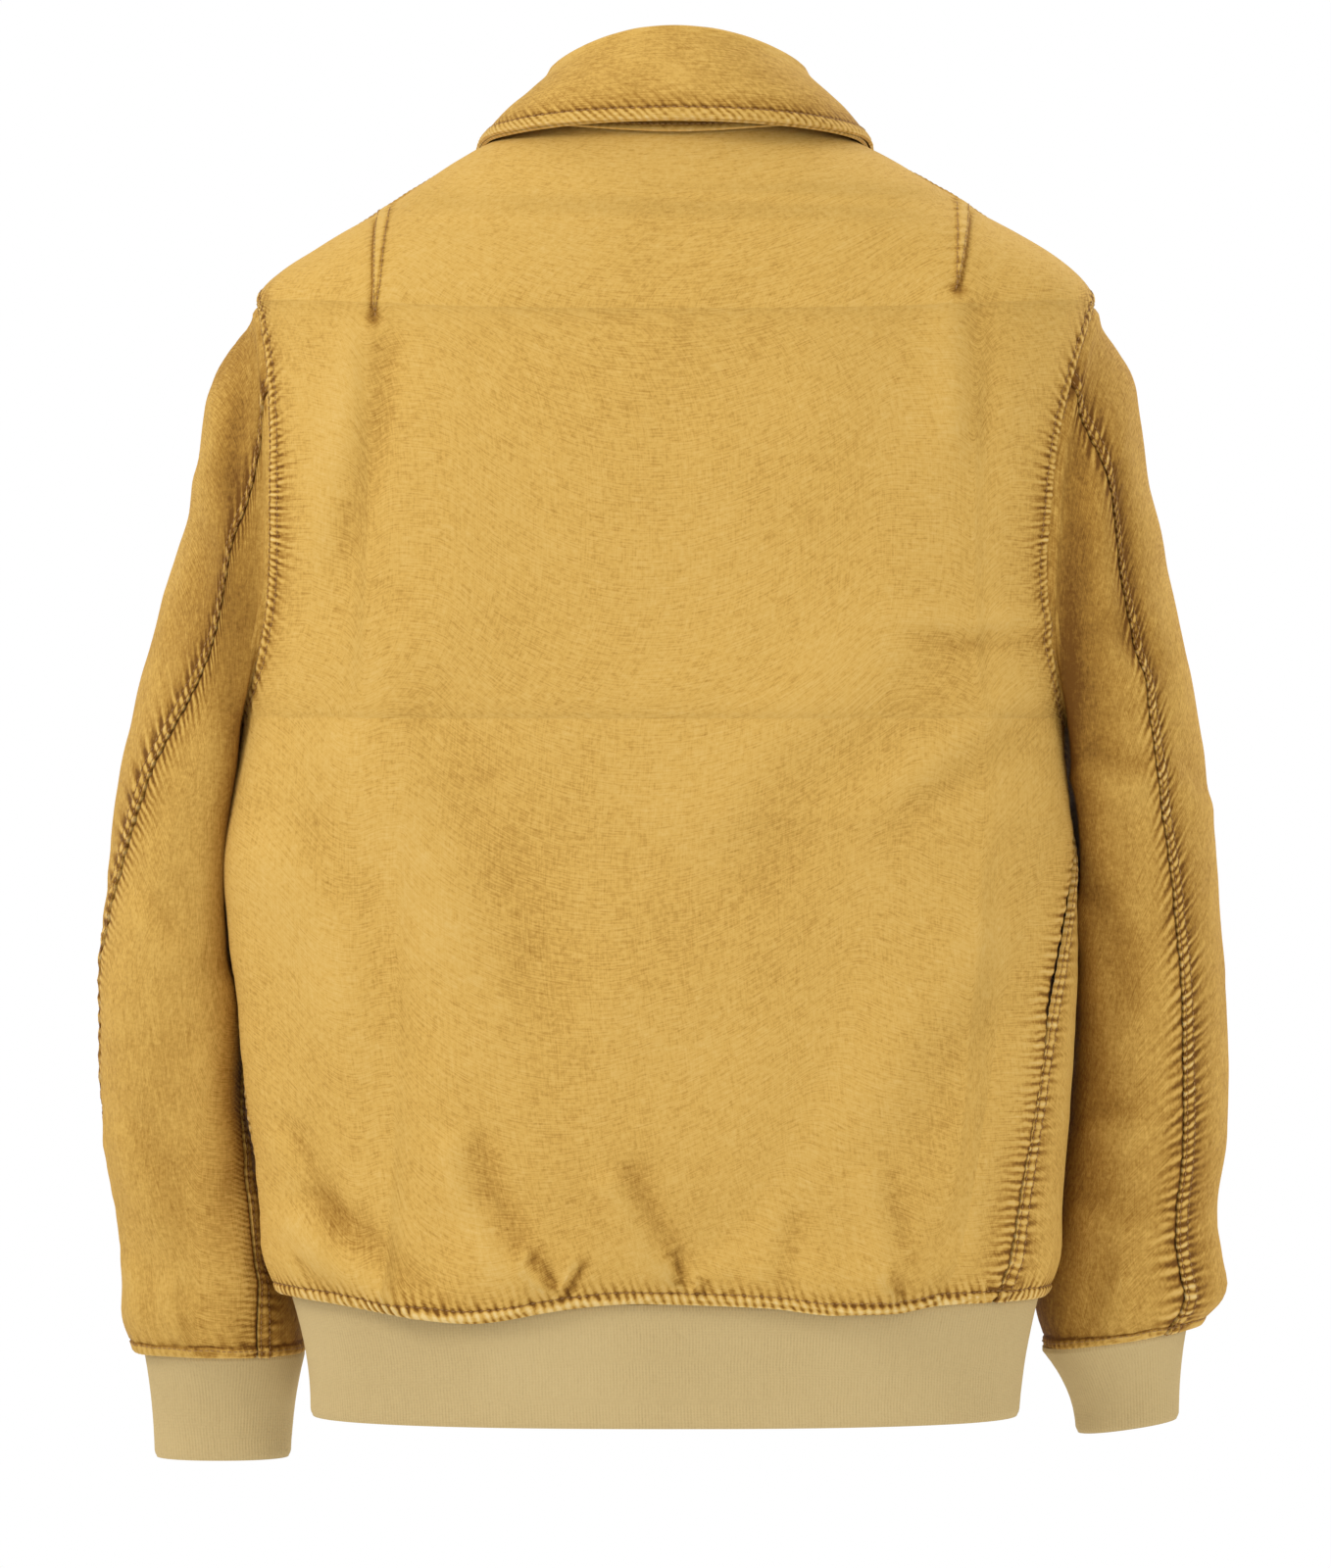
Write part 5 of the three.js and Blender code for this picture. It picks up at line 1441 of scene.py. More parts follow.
class BLOUSON_OT_ribs(bpy.types.Operator):
    """Builds the knitted hem and cuffs"""

    bl_idname = "blouson.ribs"
    bl_label = "Ribs"

    def execute(self, context):
        sizes = context.scene.blouson_sizes
        pitch = sizes.rib_pitch / MM
        self.hem(pitch)
        for side in SLEEVES:
            self.cuff(side, pitch)
        return {"FINISHED"}

    def finish_band(self, name, cloth, pitch, body, node, rests_on):
        foot = cloth.from_foot
        cloth.add(-1.1 * bell(foot, 1.6))
        strength = smooth(foot / 4)
        # The ribs are relief, and their colour is painted lighter on their tops and darker between them, as
        # light and shade.
        ripple = 0.32 * (np.abs(np.sin(math.pi * cloth.across / pitch)) ** 0.8 - 0.7)
        cloth.add(ripple * strength, (ripple - 0.02) * 1.4)
        x, z = cloth.points[..., 0], cloth.points[..., 2]
        bumps = 0.9 * crumple(x + cloth.points[..., 1], z, 46, 33) * smooth(foot / 20)
        cloth.add(bumps, 0.08 * crumple(x, z, 40, 34))
        ob = wall(name, cloth, KNIT)
        dress(ob, finish("knit"), node, slot="knit", body=body)
        declare(cloth)

    def hem(self, pitch):
        seam = ring(BACK_LENGTH)

        def at(down):
            drawn = RIB_DRAW * (1 - (1 - np.clip(down, 0, 1)) ** 2)
            z = -BACK_LENGTH - mix(1.6, RIB_HEIGHT, down)
            r = dict(seam)
            r["left"], r["right"] = seam["left"] - 3 - drawn, seam["right"] - 1 - drawn
            r["back"] = seam["back"] - 1 - 0.6 * drawn
            r["front"] = front_line(z) - seam["side"]
            r["side_z"] = r["back_z"] = r["front_z"] = z
            return r

        halfway = at(0.5)
        start = -TAU / 4 + centre_angle(FRONT_EDGE, halfway["left"])
        end = 0.75 * TAU - centre_angle(FRONT_EDGE, halfway["right"])
        count = int(HEM_GIRTH / pitch) * COLUMNS_PER_RIB
        rows = []
        for down in RIB_DOWNS:
            path = partial(ring_point, at(down))
            rows.append(path(even_ring(path, start, end, count, False)))
        cloth = self.banded(np.array(rows), False)
        self.finish_band("hem_rib_knit", cloth, pitch, "torso", "hem_rib", "back_panel_cloth")

    def banded(self, points, closed):
        across = np.gradient(points, axis=1)
        if closed:
            across = np.roll(points, -1, axis=1) - np.roll(points, 1, axis=1)
        down = np.gradient(points, axis=0)
        return Cloth(points, unit(np.cross(down, across)), closed)

    def cuff(self, side, pitch):
        sleeve = SLEEVES[side]
        sign = sleeve["sign"]
        wrist = sleeve_section(sleeve, np.float64(1.0))
        outer_draw, outer_length, inner_draw, inner_length = sleeve["cuff"]
        outer, inner = wrist["outer"], wrist["inner"]

        def at(down):
            drawn = 1 - (1 - max(down, 0)) ** 2
            return {
                "outer": (
                    mix(outer[0] - sign * KNIT, outer[0] - sign * outer_draw, drawn),
                    mix(outer[1] - CUFF_SEAM_GAP, outer[1] - outer_length, down),
                ),
                "inner": (
                    mix(inner[0] + sign * KNIT, inner[0] + sign * inner_draw, drawn),
                    mix(inner[1] - CUFF_SEAM_GAP, inner[1] - inner_length, down),
                ),
                "middle": mix(wrist["middle"], wrist["middle"] + 4, drawn),
                "deep": mix(wrist["deep"] - KNIT, CUFF_DEPTH, drawn),
            }

        count = int(CUFF_GIRTH / pitch) * COLUMNS_PER_RIB
        rows = []
        for down in RIB_DOWNS:
            path = partial(section_point, at(down))
            turns = even_ring(path, 0, TAU, count, True)
            rows.append(path(turns[::-1] if sign > 0 else turns))
        cloth = self.banded(np.array(rows), True)
        node = f"{side}_cuff_rib"
        self.finish_band(node + "_knit", cloth, pitch, f"{side}_sleeve", node, f"{side}_upper_sleeve_cloth")


# ------------------------------------------------------------------ collar
COLLAR_CLOTH, COLLAR_PLY_GAP, COLLAR_REST, FOLD_RADIUS = 1.6, 0.8, 1.6, 4.2
COLLAR_PLIES = COLLAR_CLOTH + COLLAR_PLY_GAP / 2
COLLAR_FOLD = {
    "left": 64, "right": 68, "side": -2, "back": 63, "front": 78,
    "side_z": 38, "back_z": 53, "front_z": -56, "back_power": 2,
}
COLLAR_EDGE = {
    "left": 103, "right": 103, "side": 0, "back": NECK_BACK + 12, "front": 1,
    "side_z": 0, "back_z": 3, "front_z": 0, "back_power": 2,
}
COLLAR_POINT, COLLAR_SWEEP = np.array([52.0, 99, -122]), np.array([110.0, 60, -40])
COLLAR_COLUMNS = 24


def yoke():
    """The torso's upper part as points with their normals, to rest the collar on."""
    depths, angles = np.arange(-SIDE_NECK_RISE, UNDERARM, 4), np.radians(np.arange(-90, 270, 3))
    depth, angle = np.meshgrid(depths, angles, indexing="ij")
    point = torso(depth, angle)
    across = torso(depth, angle + 0.02) - torso(depth, angle - 0.02)
    down = torso(depth + 1, angle) - point
    return point.reshape(-1, 3), unit(np.cross(down, across)).reshape(-1, 3)


def rest_on(point, gap, on):
    points, normals = on
    i = np.argmin(((points - point) ** 2).sum(axis=1))
    height = (point - points[i]) @ normals[i]
    return point + normals[i] * max(gap - height, 0)


def collar_edge_point(angle, ends):
    if math.sin(angle) >= 0:
        return ring_point(COLLAR_EDGE, np.float64(angle))
    on_right = angle > 1
    t = (angle - math.pi) / (ends[1] - math.pi) if on_right else angle / ends[0]
    leaf = (1 - t) ** 2 * np.array([103.0, 0, 0]) + 2 * t * (1 - t) * COLLAR_SWEEP + t * t * COLLAR_POINT
    return np.array([leaf[0] if on_right else -leaf[0], AXIS_Y + leaf[1], leaf[2]])


def collar_profile(angle, ends, on):
    """The seven points that the collar's section runs through, from the neck seam to the edge of its fall."""
    neck = torso(-SIDE_NECK_RISE, np.float64(angle)) + np.array([0, 0, SEAM_GAP + 0.4])
    before, top, after = (ring_point(COLLAR_FOLD, np.float64(a)) for a in (angle - 0.01, angle, angle + 0.01))
    along = after - before
    out = np.cross([0, 0, -1], along)
    out[2] = 0
    out = out / np.linalg.norm(out)
    edge = rest_on(collar_edge_point(angle, ends), COLLAR_PLIES + COLLAR_REST, on)
    drop = np.array([0, 0, 1.4 * FOLD_RADIUS])
    inside, outside = top - out * FOLD_RADIUS - drop, top + out * FOLD_RADIUS - drop
    waist = mix(neck, inside, 0.5)
    fall = rest_on(mix(outside, edge, 0.5) + out * 3, COLLAR_PLIES + COLLAR_REST, on)
    return np.array([neck, waist, inside, top, outside, fall, edge])


def smooth_run(points, t):
    """A centripetal curve through each of many profiles at once: points are profiles x points x 3."""
    n = points.shape[1]
    ends = [2 * points[:, :1] - points[:, 1:2], points, 2 * points[:, -1:] - points[:, -2:-1]]
    padded = np.concatenate(ends, axis=1)
    place = (n - 1) * t
    i = np.clip(np.floor(place).astype(int), 0, n - 2)
    w = (place - i)[:, None, None]
    p0, p1, p2, p3 = (np.swapaxes(padded[:, i + k], 0, 1) for k in range(4))
    spans = (p1 - p0, p2 - p1, p3 - p2)
    d0, d1, d2 = (np.linalg.norm(span, axis=2, keepdims=True) ** 0.5 for span in spans)
    m1 = ((p1 - p0) / d0 - (p2 - p0) / (d0 + d1) + (p2 - p1) / d1) * d1
    m2 = ((p2 - p1) / d1 - (p3 - p1) / (d1 + d2) + (p3 - p2) / d2) * d1
    c2, c3 = -3 * p1 + 3 * p2 - 2 * m1 - m2, 2 * p1 - 2 * p2 + m1 + m2
    return p1 + m1 * w + c2 * w * w + c3 * w**3


class BLOUSON_OT_collar(bpy.types.Operator):
    """Builds the turn-down collar: its top and under plies, topstitched round the edge"""

    bl_idname = "blouson.collar"
    bl_label = "Collar"

    def execute(self, context):
        neck = ring(-SIDE_NECK_RISE)
        edge = float(centre_angle(FRONT_EDGE, neck["left"]))
        ends = (-math.pi / 2 + edge, 1.5 * math.pi - edge)
        on = yoke()
        angles = np.linspace(*ends, COLLAR_COLUMNS + 1)
        guides = np.array([collar_profile(a, ends, on) for a in angles])
        fine = np.linspace(0, 1, 221)
        fine = np.unique(np.concatenate([fine, [0.0015, 0.003, 0.997, 0.9985]]))
        at = mix(ends[0], ends[1], fine)
        runs = [[through(angles, guides[:, i, k])(at) for k in range(3)] for i in range(guides.shape[1])]
        profiles = np.transpose(np.array(runs), (2, 0, 1))
        stations = np.concatenate([np.linspace(0, 0.8, 56), 1 - np.linspace(0.19, 0.0, 34)])
        grid = smooth_run(profiles, stations)[::-1, ::-1]
        normals = unit(np.cross(np.gradient(grid, axis=0), np.gradient(grid, axis=1)))
        # The neck edge of the top collar is sewn in under the body, and that of the under collar over it.
        foot = Cloth(grid, normals).from_foot[..., None]
        turns = at[::-1]
        slope = unit(torso(4 - SIDE_NECK_RISE, turns) - torso(-SIDE_NECK_RISE, turns))
        under = grid + 4.4 * (1 - smooth(foot / 8)) * (normals - np.array([0, 0, 1]))
        over = grid + (1 - smooth(foot / 7)) * (6.0 * slope + 1.0 * torso_normal(4 - SIDE_NECK_RISE, turns))
        self.ply("top_collar", under, normals, COLLAR_PLIES, 71, True)
        normals = unit(np.cross(np.gradient(over, axis=0), np.gradient(over, axis=1)))
        self.ply("under_collar", over, normals, -COLLAR_PLY_GAP / 2, 72, False)
        return {"FINISHED"}

    def ply(self, node, grid, normals, lift, seed, on_top):
        cloth = Cloth(grid.copy(), normals)
        from_edge = np.minimum(np.minimum(cloth.down, cloth.across), cloth.from_end)
        x, z = grid[..., 0], grid[..., 2]
        on_fall = smooth((cloth.from_foot - 56) / 14)
        at_fall = cloth.down <= np.minimum(cloth.across, cloth.from_end)
        along = np.where(at_fall, cloth.across, cloth.down + 500)
        side = 1 if on_top else 0.35
        relief, painted_light_and_tone = turned_hem(from_edge, along, seed, 0.7)
        cloth.add((relief * side - 0.3 * bell(from_edge, 1.5)) * on_fall, painted_light_and_tone * on_fall)
        cloth.sew(from_edge, along, 0.7 * on_fall, FROM_SEAM[FAR_LINE])
        bumps = 0.8 * crumple(x, z * 1.4, 42, seed + 1) + 0.35 * crumple(x, z, 17, seed + 2)
        cloth.add(on_fall * bumps * (1 if on_top else 0.4))
        cloth.add(0, 0.07 * crumple(x, z, 34, seed + 3) + 0.08 * crumple(x * 0.5, z, 9, seed + 4))
        cloth.add(0, -0.14 * bell(cloth.down - 9, 6) * side)
        roll = smooth((cloth.from_foot - 44) / 8) * smooth((62 - cloth.from_foot) / 8)
        cloth.add(0, 0.2 * roll)
        relief, painted_light_and_tone = turned_hem(cloth.from_foot * 2, cloth.across, seed + 6, 0.5)
        cloth.add(relief * 0.5, painted_light_and_tone)
        ob = wall(node + "_cloth", cloth, COLLAR_CLOTH, lift)
        dress(ob, finish("collar_canvas"), node, slot="canvas", body="torso")
        declare(cloth)
        centre = cloth.down.shape[1] // 2
        columns = slice(3, -3)
        if on_top:
            row = int(np.argmin(np.abs(cloth.down[:, centre] - FROM_SEAM[FAR_LINE])))
            seams["torso"].append(cloth.face(lift + STITCH_LIFT)[row, columns])
        else:
            row = int(np.argmin(np.abs(cloth.from_foot[:, centre] - FROM_SEAM[FAR_LINE] / 2)))
            seams["torso"].append(cloth.face(lift - COLLAR_CLOTH - STITCH_LIFT)[row, columns])


# ------------------------------------------------------------------ zip
ZIP_TOP, ZIP_BOTTOM = -FRONT_NECK_DROP - 6, -BACK_LENGTH - RIB_HEIGHT + 3
ZIP_TILT = math.atan(FRONT_SLOPE)
ZIP_LENGTH = (ZIP_TOP - ZIP_BOTTOM) / math.cos(ZIP_TILT)
TAPE_Y = -mix(CLOTH, LINING_OFFSET, 0.5)
TAPE_WIDTH, TAPE, CHAIN_HALF = 14, 0.8, 3
TOOTH_PITCH = 2.6


def in_zip(x, y, z):
    """A place in the zip's own frame, whose z runs up the chain, in the garment's frame."""
    c, s = math.cos(ZIP_TILT), math.sin(ZIP_TILT)
    x, y, z = np.broadcast_arrays(np.asarray(x, float), y, z)
    top = np.array([0, AXIS_Y + front_line(ZIP_TOP), ZIP_TOP])
    return top + np.stack([x, c * y - s * z, s * y + c * z], axis=-1)


class BLOUSON_OT_zip(bpy.types.Operator):
    """Builds the zip: woven tapes, interlocking teeth, stops, slider and pull"""

    bl_idname = "blouson.zip"
    bl_label = "Zip"

    def execute(self, context):
        for side, sign in (("left", -1), ("right", 1)):
            self.tape(side, sign)
        tree = repeat_tree("tooth_row", tooth_shape, ["Half Width", "Half Depth", "Half Height"])
        rows = []
        for sign, shift in ((-1, 0), (1, TOOTH_PITCH / 2)):
            z = np.array([-6.5 - shift, -ZIP_LENGTH + 15.0])
            rows.append(in_zip(sign * 1.62, TAPE_Y + 0 * z, z))
        tooth = {"Pitch": TOOTH_PITCH, "Half Width": 1.75, "Half Depth": 1.15, "Half Height": 0.55}
        values = {label: size * MM for label, size in tooth.items()}
        teeth = repeat_along("zip_teeth", rows, tree, values, finish("metal"))
        teeth.data.set_sharp_from_angle(angle=math.radians(40))
        dress(teeth, finish("metal"), "left_zip_chain", "right_zip_chain", slot="zip_metal", body="torso")
        metal = {
            "left_top_stop": ("torso", 0.35),
            "right_top_stop": ("torso", 0.35),
            "zip_retainer_box": ("torso", 0.6),
            "zip_slider": ("slider", 0.3),
            "zip_pull_bail": ("slider", 0.3),
            "zip_pull_tab": ("pull", 0.3),
        }
        for node, (body, width) in metal.items():
            dress(bevelled_copy(node, width), finish("metal"), node, slot="zip_metal", body=body)
        return {"FINISHED"}

    def tape(self, side, sign):
        z = -np.linspace(0, ZIP_LENGTH, 260)
        x = np.linspace(CHAIN_HALF + 0.3, CHAIN_HALF + 0.3 + TAPE_WIDTH, 16)
        x = x[::-1] if sign > 0 else -x
        points = in_zip(x[None, :], TAPE_Y + TAPE / 2, z[:, None])
        normals = in_zip(0.0, 1.0, 0.0) - in_zip(0.0, 0.0, 0.0) + np.zeros_like(points)
        cloth = Cloth(points, normals)
        cord = bell(cloth.from_end if sign > 0 else cloth.across, 1.3)
        cloth.add(0.35 * cord + 0.06 * np.sin(cloth.across * TAU / 3.4))
        ob = wall(f"{side}_zip_tape_woven", cloth, TAPE)
        dress(ob, finish("tape"), f"{side}_zip_tape", slot="tape", body="torso")
        declare(cloth)


# ------------------------------------------------------------------ pockets and hanger loop
WELT, WELT_WIDTH, WELT_LENGTH, WELT_LEAN, WELT_GAP = 1.6, 22, 150, 18, 1.2
WELT_ABOVE_RIB, WELT_FROM_SIDE, BAG_ABOVE_RIB, POCKET_DEPTH, BAG_SHARE = 212, 99, 40, 120, 0.6


def front_patch(sign, across, down):
    """A rectangle laid on a front, leaning towards the side as it goes down: its points and normals."""
    lean = math.radians(WELT_LEAN)
    reach = LEVEL["half"](BACK_LENGTH - BAG_ABOVE_RIB) - WELT_FROM_SIDE
    a, d = np.meshgrid(across, down)
    x = reach + a * math.cos(lean) + d * math.sin(lean)
    z = WELT_ABOVE_RIB - BACK_LENGTH - d * math.cos(lean) + a * math.sin(lean)
    depth = -z
    for _ in range(8):
        r = ring(depth)
        angle = 1.5 * math.pi - sign * centre_angle(x, r["right" if sign > 0 else "left"])
        depth = depth + ring_point(r, angle)[..., 2] - z
    points, normals = torso(depth, angle), torso_normal(depth, angle)
    if sign > 0:
        points, normals = points[:, ::-1], normals[:, ::-1]
    return points, normals


class BLOUSON_OT_pockets(bpy.types.Operator):
    """Builds the two slanted welt pockets and their bags"""

    bl_idname = "blouson.pockets"
    bl_label = "Pockets"

    def execute(self, context):
        for side, sign in (("right", 1), ("left", -1)):
            half = WELT_WIDTH / 2
            across, down = np.linspace(-half, half, 40), np.linspace(0, WELT_LENGTH, 150)
            points, normals = front_patch(sign, across, down)
            welt = Cloth(points, normals)
            edge = np.minimum.reduce([welt.across, welt.from_end, welt.down, welt.from_foot])
            relief, painted_light_and_tone = turned_hem(edge, welt.down + welt.across, 101, 0.35)
            under = surfaces[side + "_front"]
            laid = lay_on(under, points.reshape(-1, 3), normals.reshape(-1, 3), 0).reshape(points.shape)
            rise = ((laid - points) * normals).sum(axis=-1)
            welt.add(relief + np.maximum(rise, -0.4), painted_light_and_tone)
            ob = wall(f"{side}_pocket_welt_cloth", welt, WELT, WELT + WELT_GAP)
            dress(ob, finish("canvas"), f"{side}_pocket_welt", slot="canvas", body="torso")
            declare(welt)
            face = welt.face(WELT + WELT_GAP + STITCH_LIFT)
            inset = round(FROM_SEAM[FAR_LINE] / WELT_WIDTH * (len(across) - 1))
            foot = round(FROM_SEAM[FAR_LINE] / WELT_LENGTH * (len(down) - 1))
            seams["torso"] += [face[:, column] for column in (2, -3, inset)]
            seams["torso"] += [face[row] for row in (foot, -1 - foot, 2, -3)]
            across, down = np.linspace(-POCKET_DEPTH / 2, half, 40), np.linspace(-5, WELT_LENGTH + 20, 54)
            points, normals = front_patch(sign, across, down)
            bag = Cloth(points, normals)
            bag.add(-0.15 - 0.15 * crumple(points[..., 0], points[..., 2], 30, 103))
            lift = LINING / 2 - mix(CLOTH, LINING_OFFSET, BAG_SHARE)
            ob = wall(f"{side}_pocket_bag_cloth", bag, LINING, lift)
            dress(ob, finish("lining"), f"{side}_pocket_bag", slot="lining", body="torso")
            declare(bag)
        return {"FINISHED"}


LOOP_WIDTH, LOOP = 6, 1.2


class BLOUSON_OT_loop(bpy.types.Operator):
    """Builds the hanger loop inside the back neck"""

    bl_idname = "blouson.loop"
    bl_label = "Hanger Loop"

    def execute(self, context):
        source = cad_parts["hanger_loop"].data
        co = np.zeros(len(source.vertices) * 3)
        source.vertices.foreach_get("co", co)
        co = np.unique(np.round(co.reshape(-1, 3) / MM, 3), axis=0)
        xs = np.unique(np.round(co[:, 0], 1))
        middle = np.array([co[np.abs(co[:, 0] - x) < 0.3, 1:].mean(axis=0) for x in xs])
        x = np.linspace(xs[0], xs[-1], 120)
        line = np.stack([x, through(xs, middle[:, 0])(x), through(xs, middle[:, 1])(x)], axis=1)
        across = np.linspace(0.5, -0.5, 13) * LOOP_WIDTH
        points = line[None] + np.array([0, 0, 1.0]) * across[:, None, None]
        normals = unit(np.cross(np.gradient(points, axis=0), np.gradient(points, axis=1)))
        strap = Cloth(points, normals)
        strap.add(-0.45 * bell(np.minimum(strap.down, strap.from_foot), 0.7))
        ob = wall("hanger_loop_strap", strap, LOOP, LOOP / 2)
        dress(ob, finish("tape"), "hanger_loop", slot="tape", body="torso")
        face = strap.face(LOOP / 2 + 0.1)
        seams["torso"] += [face[2, 4:-4], face[-3, 4:-4]]
        return {"FINISHED"}


# ------------------------------------------------------------------ stitching
class BLOUSON_OT_stitching(bpy.types.Operator):
    """Sews every seam line that the pieces have noted, one set of stitches for each body"""

    bl_idname = "blouson.stitching"
    bl_label = "Stitching"

    def execute(self, context):
        sizes = context.scene.blouson_sizes
        tree = repeat_tree("stitch_run", thread_shape, ["Half Width", "Half Depth", "Half Length"])
        values = {
            "Pitch": sizes.stitch_pitch,
            "Half Width": sizes.thread / 2,
            "Half Depth": sizes.thread / 2,
            "Half Length": sizes.stitch_pitch * 0.42,
        }
        for body, lines in seams.items():
            lines = [line for line in lines if len(line) > 3]
            ob = repeat_along(f"{body}_stitches", lines, tree, values, finish("thread"))
            dress(ob, finish("thread"), slot="canvas", body=None if "sleeve" in body else "torso")
            if "sleeve" in body:
                self.follow(ob, body)
        return {"FINISHED"}

    def follow(self, ob, body):
        """Gives the stitches the share of the sleeve's motion of the cloth under them, which hang_between
        then removes as it bakes their placement.
        """
        side = body.split("_")[0]
        shares = []
        slim, full = surfaces[body]
        tree = kdtree.KDTree(slim.relief.size + full.relief.size)
        for cloth in (slim, full):
            for point, share in zip(cloth.face().reshape(-1, 3), cloth.weight.ravel()):
                tree.insert(point * MM, len(shares))
                shares.append(share)
        tree.balance()
        co = np.zeros(len(ob.data.vertices) * 3)
        ob.data.vertices.foreach_get("co", co)
        weight = [shares[tree.find(p)[1]] for p in co.reshape(-1, 3)]
        held = ob.data.attributes.new("sleeve_share", "FLOAT", "POINT")
        held.data.foreach_set("value", np.array(weight, np.float32))
        hang_between(ob, side)


# ------------------------------------------------------------------ stage
FLOOR_SIDES = 96


class BLOUSON_OT_stage(bpy.types.Operator):
    """Sets up the pale floor, the soft light and the camera behind the garment"""

    bl_idname = "blouson.stage"
    bl_label = "Stage"

    def execute(self, context):
        stage = context.scene.blouson_stage
        scene = context.scene
        mesh = bpy.data.meshes.new("floor")
        turns = np.linspace(0, TAU, FLOOR_SIDES, endpoint=False)
        rim = np.stack([np.cos(turns), np.sin(turns), 0 * turns], axis=1) * stage.floor_radius
        mesh.from_pydata(rim.tolist(), [], [range(FLOOR_SIDES)])
        floor = keep(bpy.data.objects.new("floor", mesh))
        floor.location.z = cad_low.z - stage.floor_drop
        material, nodes = start_material("pale_floor")
        speck = noise(nodes, object_coordinates(nodes), 30.0, 3.0)
        colour = ramp(nodes, speck, [(0.0, (0.86, 0.86, 0.86)), (1.0, (0.9, 0.9, 0.9))])
        finish_material(nodes, colour, 0.9)
        mesh.materials.append(material)
        world = bpy.data.worlds.new("studio")
        world.use_nodes = True
        back = world.node_tree.nodes["Background"]
        back.inputs["Color"].default_value = (1, 1, 1, 1)
        back.inputs["Strength"].default_value = stage.ambient
        scene.world = world
        middle = (cad_low + cad_high) / 2
        for name, place, size, power in (
            ("key", (-2.3, -1.9, 2.1), 1.1, stage.key),
            ("fill", (2.6, -2.0, 0.6), 2.2, stage.key * 0.16),
            ("front_key", (2.0, 2.3, 2.0), 1.3, stage.key * 0.9),
        ):
            light = bpy.data.lights.new(name, "AREA")
            light.size, light.energy = size, power
            ob = keep(bpy.data.objects.new(name, light))
            ob.location = middle + Vector(place)
            ob.rotation_mode = "QUATERNION"
            ob.rotation_quaternion = (middle - ob.location).to_track_quat("-Z", "Y")
        camera = bpy.data.cameras.new("camera")
        camera.sensor_width = 36
        camera.lens = 36 * (stage.distance + 0.02) / stage.frame_height
        camera.clip_start, camera.clip_end = 0.05, 50
        ob = keep(bpy.data.objects.new("camera", camera))
        ob.location = (stage.aim_x, -stage.distance, stage.aim_z)
        ob.rotation_euler = (math.pi / 2, 0, 0)
        scene.camera = ob
        scene.view_settings.view_transform = "Standard"
        return {"FINISHED"}


# ------------------------------------------------------------------ settings and panel
def length(name, description, default, low, high):
    limits = {"min": low, "max": high}
    return FloatProperty(name=name, description=description, default=default, unit="LENGTH", **limits)


def colour(name, description, default):
    limits = {"min": 0, "max": 1}
    return FloatVectorProperty(name=name, description=description, default=default, subtype="COLOR", **limits)


class BlousonSizes(bpy.types.PropertyGroup):
    rib_pitch: length("Rib Pitch", "Width of one knitted rib", 0.0017, 0.001, 0.006)
    stitch_pitch: length("Stitch Pitch", "Length of one stitch and its gap", 0.0031, 0.002, 0.006)
    thread: length("Thread", "Thickness of the sewing thread", 0.00062, 0.0002, 0.0015)


class BlousonColours(bpy.types.PropertyGroup):
    canvas: colour("Canvas", "Washed canvas", (0.59, 0.355, 0.082))
    # Painted highlight on crests and ridges, and the lighter random tone of the canvas; the tape's weave also
    # uses it.
    canvas_faded_and_highlight: colour("Faded Canvas", "Canvas where it rubs", (0.645, 0.42, 0.13))
    # Painted highlight: the colour of the highest crests of puckers.
    canvas_crest_highlight: colour("Worn Canvas", "Canvas on the crests of puckers", (0.73, 0.53, 0.22))
    # Painted shade: the colour of canvas in creases, folds and puckers and where the sleeves face the body;
    # also the darker random tone of the canvas and of the tape's weave.
    canvas_shade: colour("Shaded Canvas", "Canvas in folds, where it keeps its dye", (0.36, 0.185, 0.032))
    # Painted shade: the colour of the deepest hollows of puckers and creases.
    canvas_deep: colour("Deep Canvas", "Canvas in the pits of puckers", (0.16, 0.066, 0.01))
    knit: colour("Knit", "Rib knit", (0.49, 0.365, 0.17))
    # knit_light and knit_shade are the painted highlight on the tops of the ribs and the painted shade
    # between them.
    knit_light: colour("Light Knit", "Tops of the ribs", (0.58, 0.455, 0.245))
    knit_shade: colour("Shaded Knit", "Between the ribs", (0.25, 0.165, 0.065))
    lining: colour("Lining", "Twill lining", (0.3, 0.18, 0.075))
    lining_shade: colour("Shaded Lining", "Twill lining in its folds", (0.13, 0.07, 0.025))
    thread: colour("Thread", "Sewing thread", (0.36, 0.185, 0.05))
    metal: colour("Brass", "Handled brass", (0.72, 0.5, 0.22))
    metal_shade: colour("Aged Brass", "Brass in its corners", (0.26, 0.16, 0.07))


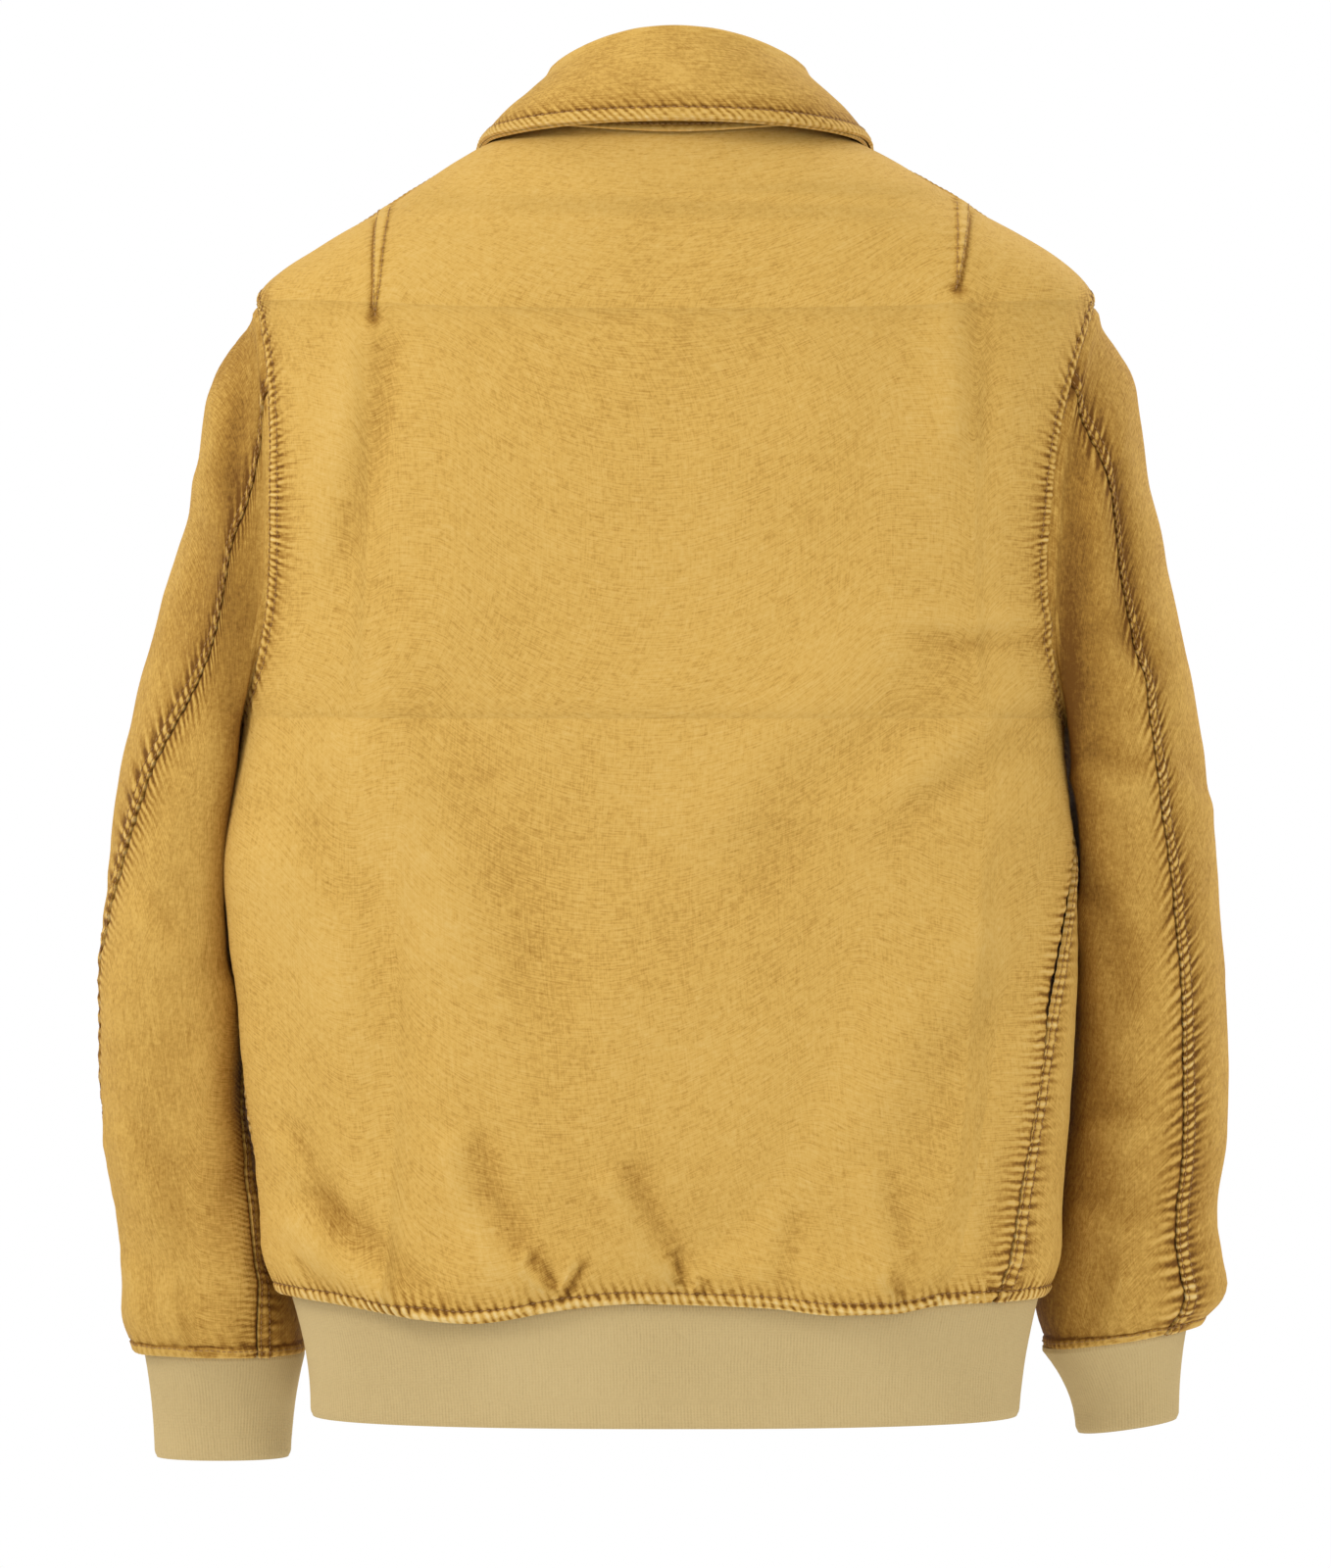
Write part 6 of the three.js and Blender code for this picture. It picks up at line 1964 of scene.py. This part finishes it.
class BlousonStage(bpy.types.PropertyGroup):
    distance: length("Camera Distance", "From the camera to the hanger loop", 3.2, 1, 10)
    aim_x: length("Aim Across", "Where the camera looks, across", -0.0047, -1, 1)
    aim_z: length("Aim Height", "Where the camera looks, in height", -0.3448, -1, 1)
    frame_height: length("Frame Height", "Height of the view at the garment", 0.832, 0.3, 3)
    floor_drop: length("Floor Drop", "How far below the cuffs the floor is", 0.25, 0.0, 1)
    floor_radius: length("Floor Radius", "Half of the round floor's width", 1.15, 0.5, 6)
    ambient: FloatProperty(
        name="Ambient", description="Strength of the light from all round", default=1.0, min=0, max=5
    )
    key: FloatProperty(
        name="Key", description="Power of the key light", default=52, min=0, max=500, unit="POWER"
    )


OPERATORS = (
    BLOUSON_OT_stage,
    BLOUSON_OT_panels,
    BLOUSON_OT_linings,
    BLOUSON_OT_ribs,
    BLOUSON_OT_sleeves,
    BLOUSON_OT_collar,
    BLOUSON_OT_zip,
    BLOUSON_OT_pockets,
    BLOUSON_OT_loop,
    BLOUSON_OT_stitching,
)


class BLOUSON_PT_sidebar(bpy.types.Panel):
    """Lists the jacket's pieces and their settings"""

    bl_idname = "BLOUSON_PT_sidebar"
    bl_label = "Canvas Blouson"
    bl_space_type = "VIEW_3D"
    bl_region_type = "UI"
    bl_category = "Blouson"

    def draw(self, context):
        for operator in OPERATORS:
            self.layout.operator(operator.bl_idname)
        scene = context.scene
        for group in (scene.blouson_sizes, scene.blouson_colours, scene.blouson_stage):
            box = self.layout.box()
            for key in group.__annotations__:
                box.prop(group, key)


CLASSES = (BlousonSizes, BlousonColours, BlousonStage, *OPERATORS, BLOUSON_PT_sidebar)


def register():
    for cls in CLASSES:
        bpy.utils.register_class(cls)
    bpy.types.Scene.blouson_sizes = PointerProperty(type=BlousonSizes)
    bpy.types.Scene.blouson_colours = PointerProperty(type=BlousonColours)
    bpy.types.Scene.blouson_stage = PointerProperty(type=BlousonStage)


def unregister():
    del bpy.types.Scene.blouson_sizes, bpy.types.Scene.blouson_colours, bpy.types.Scene.blouson_stage
    for cls in reversed(CLASSES):
        bpy.utils.unregister_class(cls)


def main():
    register()
    for operator in OPERATORS:
        family, name = operator.bl_idname.split(".")
        getattr(getattr(bpy.ops, family), name)()


if __name__ == "__main__":
    main()
